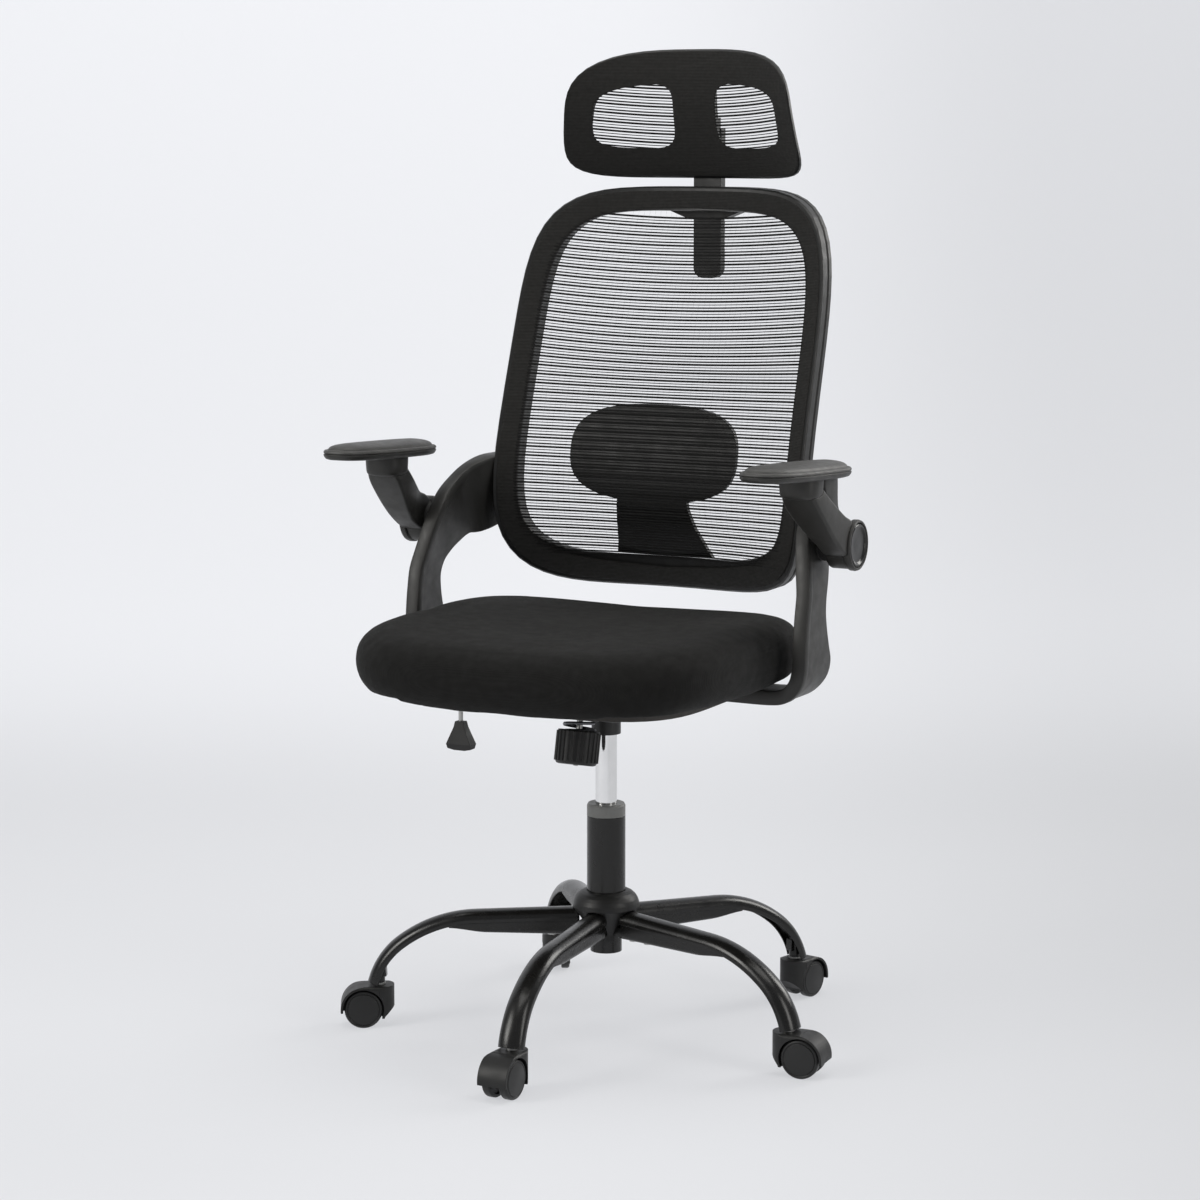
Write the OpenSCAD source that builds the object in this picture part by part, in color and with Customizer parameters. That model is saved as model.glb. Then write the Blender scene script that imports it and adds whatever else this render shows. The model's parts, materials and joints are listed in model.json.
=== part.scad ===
// Swivel office chair with a mesh back, a headrest and flip-up arms. Millimetres, +Z up.
// The origin is on the floor under the gas lift's axis. The sitter faces -Y, and +X is the sitter's left.

/* [Casters] */
// Diameter of a caster wheel
wheel_d = 50; // [40:1:65]
// Width of one wheel's tread
wheel_w = 12.5; // [12:0.5:20]
// Distance from the swivel axis back to the axle
caster_trail = 21; // [16:1:28]
// Gap between a wheel and the hood over it
wheel_gap = 2; // [1.5:0.5:4]
// Wall of the hood over the wheels
hood_wall = 3; // [2:0.5:5]
// Thickness of the web between the two wheels
hood_web = 12; // [7:0.5:12]
// Diameter of the caster stem
stem_d = 11; // [9:0.5:12]
// Length of the stem in its socket
stem_grip = 20; // [14:1:26]

/* [Star base] */
// Radius of the circle that the caster stems stand on
stem_circle_r = 299; // [260:1:340]
// Width of a leg at the hub
leg_w_hub = 31; // [28:1:36]
// Width of a leg at its outer end
leg_w_end = 34; // [32:1:42]
// Depth of a leg's half-round shell
leg_d = 16; // [14:1:20]
// Sheet thickness of the legs
leg_t = 2; // [1.5:0.25:2.5]
// Radius of the leg's first, gentle bend
leg_bend_r = 185; // [160:5:210]
// Radius of the leg's last, tight bend
leg_end_bend_r = 110; // [100:5:140]
// Depth of the channel that stiffens a leg near the hub, below the shell
brace_d = 20; // [14:1:24]
// Length of the stiffening channel from the lift's axis
brace_len = 205; // [170:5:225]
// Diameter of the hub tube
hub_d = 41; // [40:1:46]
// Height of the hub tube below the legs
hub_foot = 22; // [18:1:34]
// Diameter of the plastic cover over the hub
cover_d = 87; // [80:1:100]

/* [Gas lift] */
// Diameter of the outer tube
lift_d = 50; // [48:1:54]
// Height of the outer tube and its collar above the legs
lift_h = 138; // [120:1:150]
// Diameter of the chromed gas cylinder
cyl_d = 28; // [26:1:30]
// Wall of the gas cylinder
cyl_wall = 2; // [1.5:0.25:2.5]
// Length of the cylinder that shows between the tube and the mechanism
cyl_show = 92; // [88:1:110]
// Diameter of the piston rod
rod_d = 10; // [8:0.5:11]
// Radial clearance of running fits
run_gap = 0.08; // [0.05:0.01:0.1]

/* [Mechanism] */
// Length of the pressed housing, front to back
mech_l = 160; // [150:2:180]
// Width of the pressed housing
mech_w = 82; // [76:2:92]
// Height of the pressed housing
mech_h = 34; // [32:1:38]
// Sheet thickness of the housing and the seat plate
mech_t = 3; // [2.5:0.5:4]
// Distance of the tilt pin in front of the lift axis
pivot_fwd = 35; // [33:1:38]
// Diameter of the tilt pin
pivot_d = 12; // [10:1:14]
// Distance of the tension bolt's cross pin in front of the lift axis
tension_fwd = 72; // [66:1:76]
// Forward slope of the tension bolt in degrees
tension_slope = 13; // [9:1:15]
// Diameter of the tension knob
knob_d = 57; // [48:1:60]
// Height of the tension knob
knob_h = 44; // [36:1:50]
// Reach of the height lever from the lift axis
lever_reach = 181; // [150:1:190]

/* [Seat] */
// Width of the seat cushion
seat_w = 514; // [460:5:540]
// Depth of the seat cushion
seat_l = 480; // [450:5:520]
// Height of the cushion's crown above the board
cushion_h = 82; // [60:2:90]
// Distance of the seat's middle in front of the lift axis
seat_fwd = 88; // [70:2:100]
// Thickness of the plywood seat board
board_t = 12; // [9:1:15]
// How far the cushion's front edge hangs below the board's top
front_drop = 9; // [3:1:9]

/* [Arms] */
// Distance of an arm pad's middle outside the side bracket's outer face
pad_out = 6; // [2:1:14]
// Length of an arm pad
pad_l = 240; // [220:5:280]
// Width of an arm pad
pad_w = 76; // [70:2:90]
// Thickness of an arm pad
pad_t = 20; // [16:1:26]
// Height of an arm pad's top above the seat board
pad_rise = 290; // [270:1:310]
// Gap between the cushion's side and the side bracket
bracket_gap = 17; // [12:1:27]
// Thickness of the side bracket
bracket_t = 12; // [10:1:16]
// Diameter of the arm's pivot knuckle
knuckle_d = 62; // [56:1:68]
// Width of the arm's knuckle along its axis
knuckle_w = 34; // [28:1:40]

/* [Back] */
// Width of the back frame
back_w = 445; // [425:1:480]
// Height of the back frame
back_h = 529; // [500:1:570]
// Height of the frame's bottom edge above the seat board
back_gap = 84; // [78:1:100]
// Width of the frame's side rails, seen from the front
rail_w = 28; // [26:1:38]
// Depth of the frame's rails
rail_d = 37; // [30:1:42]
// Radius of the frame's sideways curve round the sitter
wrap_r = 446; // [380:2:600]
// Width of the lumbar pad
lumbar_w = 240; // [200:5:260]
// Height of the lumbar pad
lumbar_h = 127; // [110:5:140]

/* [Headrest] */
// Width of the headrest
head_w = 328; // [300:2:360]
// Height of the headrest
head_h = 170; // [150:1:185]
// Gap between the back frame and the headrest
head_gap = 11; // [8:1:20]
// Width of the headrest post
post_w = 40; // [34:1:44]
// Thickness of the headrest post
post_t = 14; // [12:1:16]

/* [Hidden] */
$fn = 48;

// Small helpers
function mix(a, b, t) = a + (b - a) * t;
function smooth(t) = let(u = min(max(t, 0), 1)) u * u * (3 - 2 * u);
function signed_pow(v, p) = sign(v) * pow(abs(v), p);

// Faces of a closed solid made of rings of points, with flat caps on both ends
function loft_faces(rings, sides) = concat(
    [[for (i = [0:sides - 1]) i]],
    [for (r = [0:rings - 2], i = [0:sides - 1], k = [0, 1])
        let(a = r * sides + i, b = r * sides + (i + 1) % sides)
        k == 0 ? [a, b + sides, b] : [a, a + sides, b + sides]],
    [[for (i = [sides - 1:-1:0]) (rings - 1) * sides + i]]);

// Faces of a ring-shaped solid, whose last section joins its first
function torus_faces(rings, sides) =
    [for (r = [0:rings - 1], i = [0:sides - 1], k = [0, 1])
        let(a = r * sides + i, b = r * sides + (i + 1) % sides,
            c = ((r + 1) % rings) * sides + i, d = ((r + 1) % rings) * sides + (i + 1) % sides)
        k == 0 ? [a, d, b] : [a, c, d]];

function flat_points(rings) = [for (ring = rings, p = ring) p];

module loft(rings) {
    polyhedron(flat_points(rings), loft_faces(len(rings), len(rings[0])), convexity = 8);
}

module loop_loft(rings) {
    polyhedron(flat_points(rings), torus_faces(len(rings), len(rings[0])), convexity = 8);
}

// Point i of n on a superellipse with half axes a and b, spaced evenly along its curve
function super_point(a, b, power, i, n) =
    let(v = 4 * i / n, q = floor(v), w = v - q, t = 90 * (q + pow(sin(90 * w), 2)))
    [a * signed_pow(cos(t), 2 / power), b * signed_pow(sin(t), 2 / power)];

function super_ellipse(a, b, power, n) = [for (i = [0:n - 1]) super_point(a, b, power, i, n)];

module rounded_rect(size, r) {
    union() {
        square([size[0] - 2 * r, size[1]], center = true);
        square([size[0], size[1] - 2 * r], center = true);
        for (x = [-1, 1], y = [-1, 1])
            translate([x * (size[0] / 2 - r), y * (size[1] / 2 - r)]) circle(r);
    }
}

module rod_x(r, x0, x1) {
    translate([x0, 0, 0]) rotate([0, 90, 0]) cylinder(r = r, h = x1 - x0);
}

// Extrudes a profile drawn in (Y, Z) along X
module along_x(x0, x1) {
    translate([x0, 0, 0]) rotate([90, 0, 90]) linear_extrude(x1 - x0) children();
}

// Extrudes a profile drawn in (X, Z) along Y
module along_y(y0, y1) {
    translate([0, y1, 0]) rotate([90, 0, 0]) linear_extrude(y1 - y0) children();
}

// Heights, from the floor up
wheel_r = wheel_d / 2;
hood_r = wheel_r + wheel_gap + hood_wall;
hood_top = wheel_d + wheel_gap + hood_wall + 0.5;
collar_h = 3;
leg_count = 5;
leg_first = -158.3;
function leg_angle(k) = leg_first + 72 * k;
caster_turn = [210, -92, 3, 77, 117];

// Leg path: a straight run from the hub with a slight fall, a gentle bend and a tight bend
leg_fall = 3;
leg_arch = 12;
leg_mid_slope = 38;
leg_end_slope = 70;
leg_tip_over = 11.5;
leg_root_r = 36;
socket_h = 22;
socket_z = hood_top + collar_h + 0.4;
leg_end_z = socket_z + 12;
leg_end_r = stem_circle_r + leg_tip_over;
knee_r = leg_end_r - leg_end_bend_r * (sin(leg_end_slope) - sin(leg_mid_slope));
knee_z = leg_end_z + leg_end_bend_r * (cos(leg_mid_slope) - cos(leg_end_slope));
bend_start_r = knee_r - leg_bend_r * (sin(leg_mid_slope) - sin(leg_fall));
bend_start_z = knee_z + leg_bend_r * (cos(leg_fall) - cos(leg_mid_slope));
leg_top_z = bend_start_z + (bend_start_r - leg_root_r) * tan(leg_fall);
brace_bottom = leg_top_z - leg_d - brace_d;

hub_bottom = brace_bottom - hub_foot;
hub_top = leg_top_z - 3;
cover_top = leg_top_z + 23;
lift_top = leg_top_z + lift_h;
collar_len = 16;
mech_socket_z = lift_top + cyl_show;
socket_len = 25;
mech_floor = mech_socket_z + socket_len;
mech_top = mech_floor + mech_h;
plate_z = mech_top + 7;
board_z = plate_z + mech_t;
board_top = board_z + board_t;

// Star base

// A station on the leg's top line: [radius, height, slope]
function leg_stations() = concat(
    [for (t = [0, 0.5, 0.97]) let(r = mix(leg_root_r, bend_start_r, t))
        [r, bend_start_z + (bend_start_r - r) * tan(leg_fall), leg_fall]],
    [for (i = [1:5]) let(a = mix(leg_fall, leg_mid_slope, i / 5))
        [bend_start_r + leg_bend_r * (sin(a) - sin(leg_fall)),
         bend_start_z - leg_bend_r * (cos(leg_fall) - cos(a)), a]],
    [for (i = [1:4]) let(a = mix(leg_mid_slope, leg_end_slope, i / 4))
        [knee_r + leg_end_bend_r * (sin(a) - sin(leg_mid_slope)),
         knee_z - leg_end_bend_r * (cos(leg_mid_slope) - cos(a)), a]]);

// Section of the half-round shell: across the leg, and down from its top line
function shell_section(w) = let(arch = leg_arch, lip = leg_t) concat(
    [[w / 2, -leg_d]],
    [for (u = [0:22.5:180]) [w / 2 * cos(u), arch * (sin(u) - 1)]],
    [[-w / 2, -leg_d], [-w / 2 + lip, -leg_d]],
    [for (u = [180:-22.5:0]) [(w / 2 - lip) * cos(u), (arch - lip) * sin(u) - arch]],
    [[w / 2 - lip, -leg_d]]);

function leg_ring(s, w) = [for (p = shell_section(w))
    [s[0] + p[1] * sin(s[2]), p[0], s[1] + p[1] * cos(s[2])]];

module base_leg(k) {
    stations = leg_stations();
    last = len(stations) - 1;
    color("black") rotate(leg_angle(k))
        loft([for (i = [0:last]) leg_ring(stations[i], mix(leg_w_hub, leg_w_end, pow(i / last, 1.5)))]);
}

function channel_side() =
    let(top = leg_top_z - leg_arch - 0.4, a = 0.72 * brace_len, drop = leg_top_z - bend_start_z) concat(
    [[leg_root_r, top], [leg_root_r, brace_bottom]],
    [for (i = [0:6]) let(t = i / 6)
        [mix(a, brace_len, t), brace_bottom + 6 * smooth(t)]],
    [[brace_len, top - drop - 7.5], [bend_start_r, top - drop]]);

module channel_section() {
    inner_w = leg_w_hub - 2 * leg_t - 0.4;
    wall = leg_t;
    difference() {
        union() {
            translate([-inner_w / 2, brace_bottom + 6]) square([inner_w, 60]);
            translate([-inner_w / 2 + 6, brace_bottom]) square([inner_w - 12, 20]);
            for (s = [-1, 1]) translate([s * (inner_w / 2 - 6), brace_bottom + 6]) circle(6);
        }
        translate([-inner_w / 2 + wall, brace_bottom + wall]) square([inner_w - 2 * wall, 80]);
    }
}

bolt_r = 3;
bolt_near = leg_root_r + 11;
bolt_far = bolt_near + 24;

module leg_braces() {
    color("black") for (k = [0:leg_count - 1]) rotate(leg_angle(k))
        difference() {
            intersection() {
                rotate([90, 0, 0]) linear_extrude(leg_w_hub, center = true) polygon(channel_side());
                rotate([90, 0, 90]) linear_extrude(brace_len + 20) channel_section();
            }
            for (r = [bolt_near, bolt_far])
                translate([r, 0, brace_bottom - 1]) cylinder(r = bolt_r + 0.2, h = 10);
        }
}

// Hub tongues reach into the legs, and the bolts from below clamp the channels to them
tongue_w = leg_w_hub - 4 * leg_t - 4;
tongue_h = 12;
tongue_z = brace_bottom + leg_t + 0.2;
tongue_len = bolt_far + 11;

module leg_bolts() {
    color("dimgray") for (k = [0:leg_count - 1], r = [bolt_near, bolt_far])
        rotate(leg_angle(k)) translate([r, 0, brace_bottom]) {
            translate([0, 0, -2.2]) cylinder(r = 5.5, h = 2);
            translate([0, 0, -0.3]) cylinder(r = bolt_r, h = tongue_z + tongue_h - brace_bottom);
        }
}

hub_bore_top = hub_d / 2 - 2.4;
hub_bore_bottom = hub_bore_top - 1.2;
function bore_at(z) =
    mix(hub_bore_bottom, hub_bore_top, (z - hub_bottom + 1) / (hub_top - hub_bottom + 2));

module base_hub() {
    color("black") difference() {
        union() {
            translate([0, 0, hub_bottom]) cylinder(r = hub_d / 2, h = hub_top - hub_bottom);
            for (k = [0:leg_count - 1]) rotate(leg_angle(k))
                translate([hub_d / 2 - 3, -tongue_w / 2, tongue_z])
                    cube([tongue_len - hub_d / 2 + 3, tongue_w, tongue_h]);
        }
        translate([0, 0, hub_bottom - 1])
            cylinder(r1 = hub_bore_bottom, r2 = hub_bore_top, h = hub_top - hub_bottom + 2);
        for (k = [0:leg_count - 1], r = [bolt_near, bolt_far]) rotate(leg_angle(k))
            translate([r, 0, tongue_z - 1]) cylinder(r = bolt_r + 0.05, h = tongue_h + 2);
    }
}

cover_sleeve_r = hub_d / 2 + 2.5;
cover_skirt = leg_top_z - leg_d - brace_d - 6;

module hub_cover() {
    rim_z = leg_top_z + 2;
    funnel_h = 35;
    lift_r = lift_d / 2 + 0.5;
    color("#2a2a2c") difference() {
        rotate_extrude($fn = 72) polygon(concat(
            [[hub_d / 2 + 0.3, cover_skirt], [cover_sleeve_r, cover_skirt],
             [cover_sleeve_r, rim_z - funnel_h]],
            [for (i = [1:6]) let(t = i / 6)
                [mix(cover_sleeve_r, cover_d / 2, pow(t, 1.3)), rim_z - funnel_h + (funnel_h - 1) * t]],
            [for (i = [0:6]) let(a = 90 * i / 6)
                [lift_r + (cover_d / 2 - lift_r) * cos(a), rim_z + (cover_top - rim_z) * sin(a)]],
            [[lift_r, rim_z + 1], [hub_d / 2 + 0.3, hub_top - 4]]));
        for (k = [0:leg_count - 1]) rotate(leg_angle(k)) {
            w = leg_w_hub + 1.6;
            slot_w = tongue_w + 0.8;
            translate([hub_d / 2 - 4, -slot_w / 2, cover_skirt - 1])
                cube([leg_root_r - hub_d / 2 + 4, slot_w, tongue_z + tongue_h + 1.4 - cover_skirt]);
            translate([leg_root_r - 0.4, 0, 0]) rotate([90, 0, 90]) linear_extrude(cover_d) {
                translate([0, leg_top_z - 15]) circle(w / 2);
                translate([-w / 2, cover_skirt - 1]) square([w, leg_top_z - 15 - cover_skirt + 1]);
            }
        }
    }
}

// The socket for a caster stem, welded under the leg's open end
module stem_sockets() {
    cut = leg_end_slope - 6;
    color("black") for (k = [0:leg_count - 1]) rotate(leg_angle(k))
        translate([stem_circle_r, 0, socket_z]) difference() {
            union() {
                cylinder(r = stem_d / 2 + 2, h = socket_h + 4);
                along_y(-6, 6) polygon([[-10, 8], [-5, 8], [-5, socket_h], [-9, socket_h + 2]]);
            }
            translate([0, 0, -1]) cylinder(r = stem_d / 2 + 0.02, h = stem_grip + 1);
            translate([leg_tip_over - 3.6, -20, leg_end_z - socket_z])
                rotate([0, cut - 90, 0]) translate([0, 0, -10]) cube([30, 40, 60]);
        }
}

// Casters
stem_depth = 14;

module caster_stems() {
    groove_r = stem_d / 2 - 1;
    color("silver") for (k = [0:leg_count - 1]) rotate(leg_angle(k))
        translate([stem_circle_r, 0, hood_top]) rotate_extrude() polygon([
            [0, -stem_depth], [stem_d / 2 - 1, -stem_depth], [stem_d / 2, -stem_depth + 1],
            [stem_d / 2, 0.3], [stem_d / 2 + 2.5, 0.3], [stem_d / 2 + 2.5, collar_h],
            [stem_d / 2, collar_h], [stem_d / 2, stem_grip - 3], [groove_r, stem_grip - 2],
            [groove_r, stem_grip], [stem_d / 2, stem_grip + 1], [groove_r, stem_grip + 2.4],
            [0, stem_grip + 2.4]]);
}

module at_caster(k) {
    rotate(leg_angle(k)) translate([stem_circle_r, 0, 0]) rotate(caster_turn[k] - leg_angle(k)) children();
}

hood_w = hood_web + 2 * wheel_w + 3;
hood_nose = 19.5;
axle_boss = 9;

module hood_side() {
    difference() {
        union() {
            translate([caster_trail, wheel_r]) circle(hood_r, $fn = 72);
            polygon([[-hood_nose, hood_top], [-hood_nose, wheel_r + 2], [-5, wheel_r - 12],
                     [caster_trail, wheel_r - 12], [caster_trail, hood_top]]);
        }
        translate([-60, -20]) square([200, wheel_r - 12 + 20]);
        translate([caster_trail + axle_boss, -20]) square([200, wheel_r - 4 + 20]);
    }
}

module hood_plan() {
    circle(hood_nose, $fn = 72);
    translate([0, -hood_w / 2]) square([caster_trail + hood_r + 1, hood_w]);
}

module caster_hood(k) {
    color("#303032") at_caster(k) difference() {
        intersection() {
            rotate([90, 0, 0]) linear_extrude(hood_w, center = true) hood_side();
            linear_extrude(hood_top + 1) hood_plan();
            translate([-2 * hood_r, 0, 0]) rotate([90, 0, 90]) linear_extrude(5 * hood_r)
                translate([0, hood_top / 2]) rounded_rect([hood_w, hood_top], 5);
        }
        for (s = [-1, 1]) translate([caster_trail, s * (hood_web / 2 + hood_w / 2), wheel_r])
            rotate([90, 0, 0]) cylinder(r = wheel_r + wheel_gap, h = hood_w, center = true, $fn = 72);
        translate([caster_trail, 0, wheel_r]) rotate([90, 0, 0])
            cylinder(r = 3 + run_gap, h = hood_w, center = true);
        translate([0, 0, hood_top - stem_depth - 0.5]) cylinder(r = stem_d / 2 + run_gap, h = stem_depth + 1);
    }
}

module caster_wheels(k) {
    near = hood_web / 2 + 0.5;
    far = near + wheel_w;
    color("#1c1c1e") at_caster(k) translate([caster_trail, 0, wheel_r]) rotate([90, 0, 0]) {
        cylinder(r = 3, h = 2 * near + 2, center = true);
        for (s = [0, 1]) mirror([0, 0, s]) rotate_extrude($fn = 72) polygon(concat(
            [[0, near], [8, near], [8, near + 3], [wheel_r - 5, near + 3], [wheel_r - 4, near],
             [wheel_r - 1, near], [wheel_r, near + 1.5], [wheel_r, far - 4]],
            [for (i = [1:4]) [wheel_r - 3 + 3 * cos(i * 22.5), far - 4 + 3 * sin(i * 22.5)]],
            [[wheel_r - 4.2, far - 1.8], [wheel_r - 5, far - 0.6]],
            [for (i = [1:5]) let(t = i / 5) [(wheel_r - 5) * (1 - t), far - 0.6 + 1.1 * sin(90 * t)]]));
    }
}

// Gas lift
neck_top = hub_top + 2;
tube_wall = 2;
plate_bottom = hub_bottom + 4.5;

module lift_tube() {
    r0 = bore_at(plate_bottom) - 0.1;
    r1 = bore_at(hub_top) - 0.1;
    rt = lift_d / 2;
    end = lift_top - collar_len;
    color("#151516") rotate_extrude($fn = 72) polygon([
        [rod_d / 2 + run_gap, plate_bottom], [r0, plate_bottom], [r1, hub_top],
        [rt - 1, hub_top + 8], [rt, hub_top + 10], [rt, end], [rt - tube_wall, end],
        [rt - tube_wall, hub_top + 11], [r1 - tube_wall, hub_top + 2],
        [r0 - tube_wall, plate_bottom + 3], [rod_d / 2 + run_gap, plate_bottom + 3]]);
}

bush_len = 70;

module lift_bush() {
    rt = lift_d / 2;
    rc = cyl_d / 2 + run_gap;
    color("#222224") rotate_extrude($fn = 72) polygon([
        [rc, lift_top - bush_len], [rt - tube_wall - 0.1, lift_top - bush_len],
        [rt - tube_wall - 0.1, lift_top - collar_len + 0.1], [rt, lift_top - collar_len + 0.1],
        [rt, lift_top - 3], [rt - 1.5, lift_top], [rc, lift_top]]);
}

module lift_bearing() {
    z = plate_bottom + 3.1;
    ri = rod_d / 2 + 0.3;
    color("silver") rotate_extrude() polygon([
        [ri, z], [ri + 6, z], [ri + 6, z + 1], [ri + 4.5, z + 1.6], [ri + 4.5, z + 3.4],
        [ri + 6, z + 4], [ri + 6, z + 5], [ri, z + 5], [ri, z + 4], [ri + 1, z + 3.4],
        [ri + 1, z + 1.6], [ri, z + 1]]);
}

lift_down = 80;
lift_up = 20;
cyl_bottom = plate_bottom + 12 + lift_down;
cyl_top = mech_floor + 20;
cyl_room_top = mech_floor - 5;
piston_top = cyl_room_top - lift_down - 3;
cyl_r = cyl_d / 2;
cyl_bore_r = cyl_r - cyl_wall;

module piston_rod() {
    color("silver") rotate_extrude() polygon([
        [0, plate_bottom - 4], [rod_d / 2 - 0.5, plate_bottom - 4], [rod_d / 2, plate_bottom - 3.5],
        [rod_d / 2, plate_bottom - 2.4], [rod_d / 2 - 1, plate_bottom - 2.4],
        [rod_d / 2 - 1, plate_bottom - 0.8], [rod_d / 2, plate_bottom - 0.8],
        [rod_d / 2, plate_bottom + 8.2], [rod_d / 2 + 4, plate_bottom + 8.2],
        [rod_d / 2 + 4, plate_bottom + 10], [rod_d / 2, plate_bottom + 10],
        [rod_d / 2, piston_top - 12], [cyl_bore_r - run_gap, piston_top - 10],
        [cyl_bore_r - run_gap, piston_top - 6], [cyl_bore_r - 1.5, piston_top - 5.5],
        [cyl_bore_r - 1.5, piston_top - 4.5], [cyl_bore_r - run_gap, piston_top - 4],
        [cyl_bore_r - run_gap, piston_top], [0, piston_top]]);
}

module lift_clip() {
    color("silver") translate([0, 0, plate_bottom - 2.3]) difference() {
        cylinder(r = rod_d / 2 + 4, h = 1.4);
        translate([0, 0, -1]) cylinder(r = rod_d / 2 - 0.95, h = 4);
        translate([0, -(rod_d / 2 - 1), -1]) cube([rod_d, rod_d - 2, 4]);
    }
}

// The cylinder's top is a slow taper that wedges in the mechanism's socket
taper_top_r = cyl_r - 0.9;
pin_r = 3;

module gas_cylinder() {
    color("#d8d8dc") rotate_extrude($fn = 72) polygon([
        [cyl_bore_r, cyl_bottom], [cyl_r - 0.6, cyl_bottom], [cyl_r, cyl_bottom + 1],
        [cyl_r, mech_socket_z], [taper_top_r, cyl_top - 1], [taper_top_r - 1, cyl_top],
        [pin_r + run_gap, cyl_top], [pin_r + run_gap, cyl_room_top + 2],
        [cyl_bore_r - 2, cyl_room_top], [cyl_bore_r, cyl_room_top - 2]]);
}

module rod_seal() {
    color("#222224") translate([0, 0, cyl_bottom + 1]) difference() {
        cylinder(r = cyl_bore_r - 0.02, h = 14);
        translate([0, 0, -1]) cylinder(r = rod_d / 2 + run_gap, h = 16);
    }
}

pin_travel = 3.8;

module release_pin() {
    color("silver") rotate_extrude() polygon([
        [0, cyl_top - 14], [pin_r - 0.6, cyl_top - 14], [pin_r, cyl_top - 13.4],
        [pin_r, cyl_top + pin_travel - 0.4], [pin_r - 0.6, cyl_top + pin_travel + 0.2],
        [0, cyl_top + pin_travel + 0.2]]);
}

// Mechanism
mech_front = -98;
mech_rear = mech_front + mech_l;
nose_y = -52;
nose_rise = (nose_y - mech_front) * tan(tension_slope);
pivot_z = mech_floor + 12;
tilt_max = 15;
lever_r = 3;
lever_y = -60;
lever_z = cyl_top + pin_travel + 0.5 + lever_r;
tension_z = pivot_z + (tension_fwd - pivot_fwd) * tan(tension_slope - tilt_max / 2);

nose_drop = (mech_floor + (nose_y + tension_fwd) * tan(tension_slope) - tension_z) * cos(tension_slope) - 1;

module at_tension() {
    translate([0, -tension_fwd, tension_z]) rotate([-tension_slope, 0, 0]) children();
}

module mech_wall_side() {
    drop = (mech_rear + 15) * tan(tilt_max + 0.4);
    difference() {
        polygon([[mech_front, mech_floor + nose_rise], [nose_y, mech_floor], [mech_rear, mech_floor],
                 [mech_rear, mech_top - drop],
                 [-15, mech_top], [mech_front + 6, mech_top], [mech_front, mech_top - 8]]);
        translate([-pivot_fwd, pivot_z]) circle(pivot_d / 2 + run_gap);
    }
}

module mechanism_housing() {
    hw = mech_w / 2;
    rear_h = mech_top - (mech_rear + 15) * tan(tilt_max + 0.4) - mech_floor;
    color("#1a1a1b") difference() {
        union() {
            for (s = [-1, 1]) along_x(s > 0 ? hw - mech_t : -hw, s > 0 ? hw : -hw + mech_t)
                mech_wall_side();
            along_x(-hw, hw) polygon([[mech_front, mech_floor + nose_rise], [nose_y, mech_floor],
                [mech_rear, mech_floor], [mech_rear, mech_floor + mech_t], [nose_y, mech_floor + mech_t],
                [mech_front + mech_t, mech_floor + nose_rise + mech_t], [mech_front + mech_t, mech_top - 8],
                [mech_front, mech_top - 8]]);
            translate([-hw, mech_rear - mech_t, mech_floor]) cube([mech_w, mech_t, rear_h]);
            translate([0, 0, mech_socket_z]) cylinder(r = cyl_r + 5, h = cyl_top - mech_socket_z - 3);
            at_tension() translate([0, 0, nose_drop]) cylinder(r = knob_d / 2 - 5, h = 3);
        }
        translate([0, 0, mech_socket_z - 0.01])
            cylinder(r1 = cyl_r + 0.05, r2 = taper_top_r + 0.05, h = cyl_top - mech_socket_z);
        at_tension() translate([0, 0, -40]) cylinder(r = 6, h = 34);
        translate([-hw - 1, lever_y, lever_z]) rotate([0, 90, 0]) cylinder(r = lever_r + 0.9, h = mech_t + 2);
    }
}

module tilt_pin() {
    half = mech_w / 2 + mech_t + 1;
    color("silver") translate([0, -pivot_fwd, pivot_z]) {
        rod_x(pivot_d / 2, -half - 1, half + 1);
        for (s = [0, 1]) mirror([s, 0, 0]) rod_x(pivot_d / 2 + 3, half + 1, half + 4);
    }
}

lug_x = 9;
tension_pin_r = 3.5;
lug_r = tension_pin_r + 2.8;
tension_eye_r = tension_pin_r + 3.1;

module tension_pin() {
    color("silver") translate([0, -tension_fwd, tension_z])
        rod_x(tension_pin_r, -lug_x - mech_t - 2, lug_x + mech_t + 2);
}

eye_w = 12;

module tension_bolt() {
    slack = 0.5;
    below = knob_drop - 2;
    color("silver") at_tension() difference() {
        union() {
            rod_x(tension_eye_r, -eye_w / 2, eye_w / 2);
            translate([0, 0, -below]) cylinder(r = 4, h = below - 4);
            translate([0, 0, -below - 3]) cylinder(r = 3, h = 4);
        }
        for (s = [-1, 1]) translate([0, s * slack / 2, 0])
            rod_x(tension_pin_r + 0.1, -eye_w, eye_w);
        along_x(-eye_w, eye_w) square([slack, 2 * tension_pin_r + 0.2], center = true);
    }
}

knob_gap = 13;
knob_drop = knob_gap + knob_h - nose_drop;
spring_turns = 5;
spring_r = 19.5;
spring_wire = 2.4;

module tension_spring() {
    bottom = -knob_drop + 6.6 + spring_wire;
    top = nose_drop - spring_wire - 0.1;
    steps = 18 * spring_turns;
    color("dimgray") at_tension() loft([for (i = [0:steps])
        let(a = 360 * spring_turns * i / steps, z = mix(bottom, top, i / steps))
        [for (j = [0:5]) let(b = -60 * j)
            [(spring_r + spring_wire * cos(b)) * cos(a), (spring_r + spring_wire * cos(b)) * sin(a),
             z + spring_wire * sin(b)]]]);
}

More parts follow.
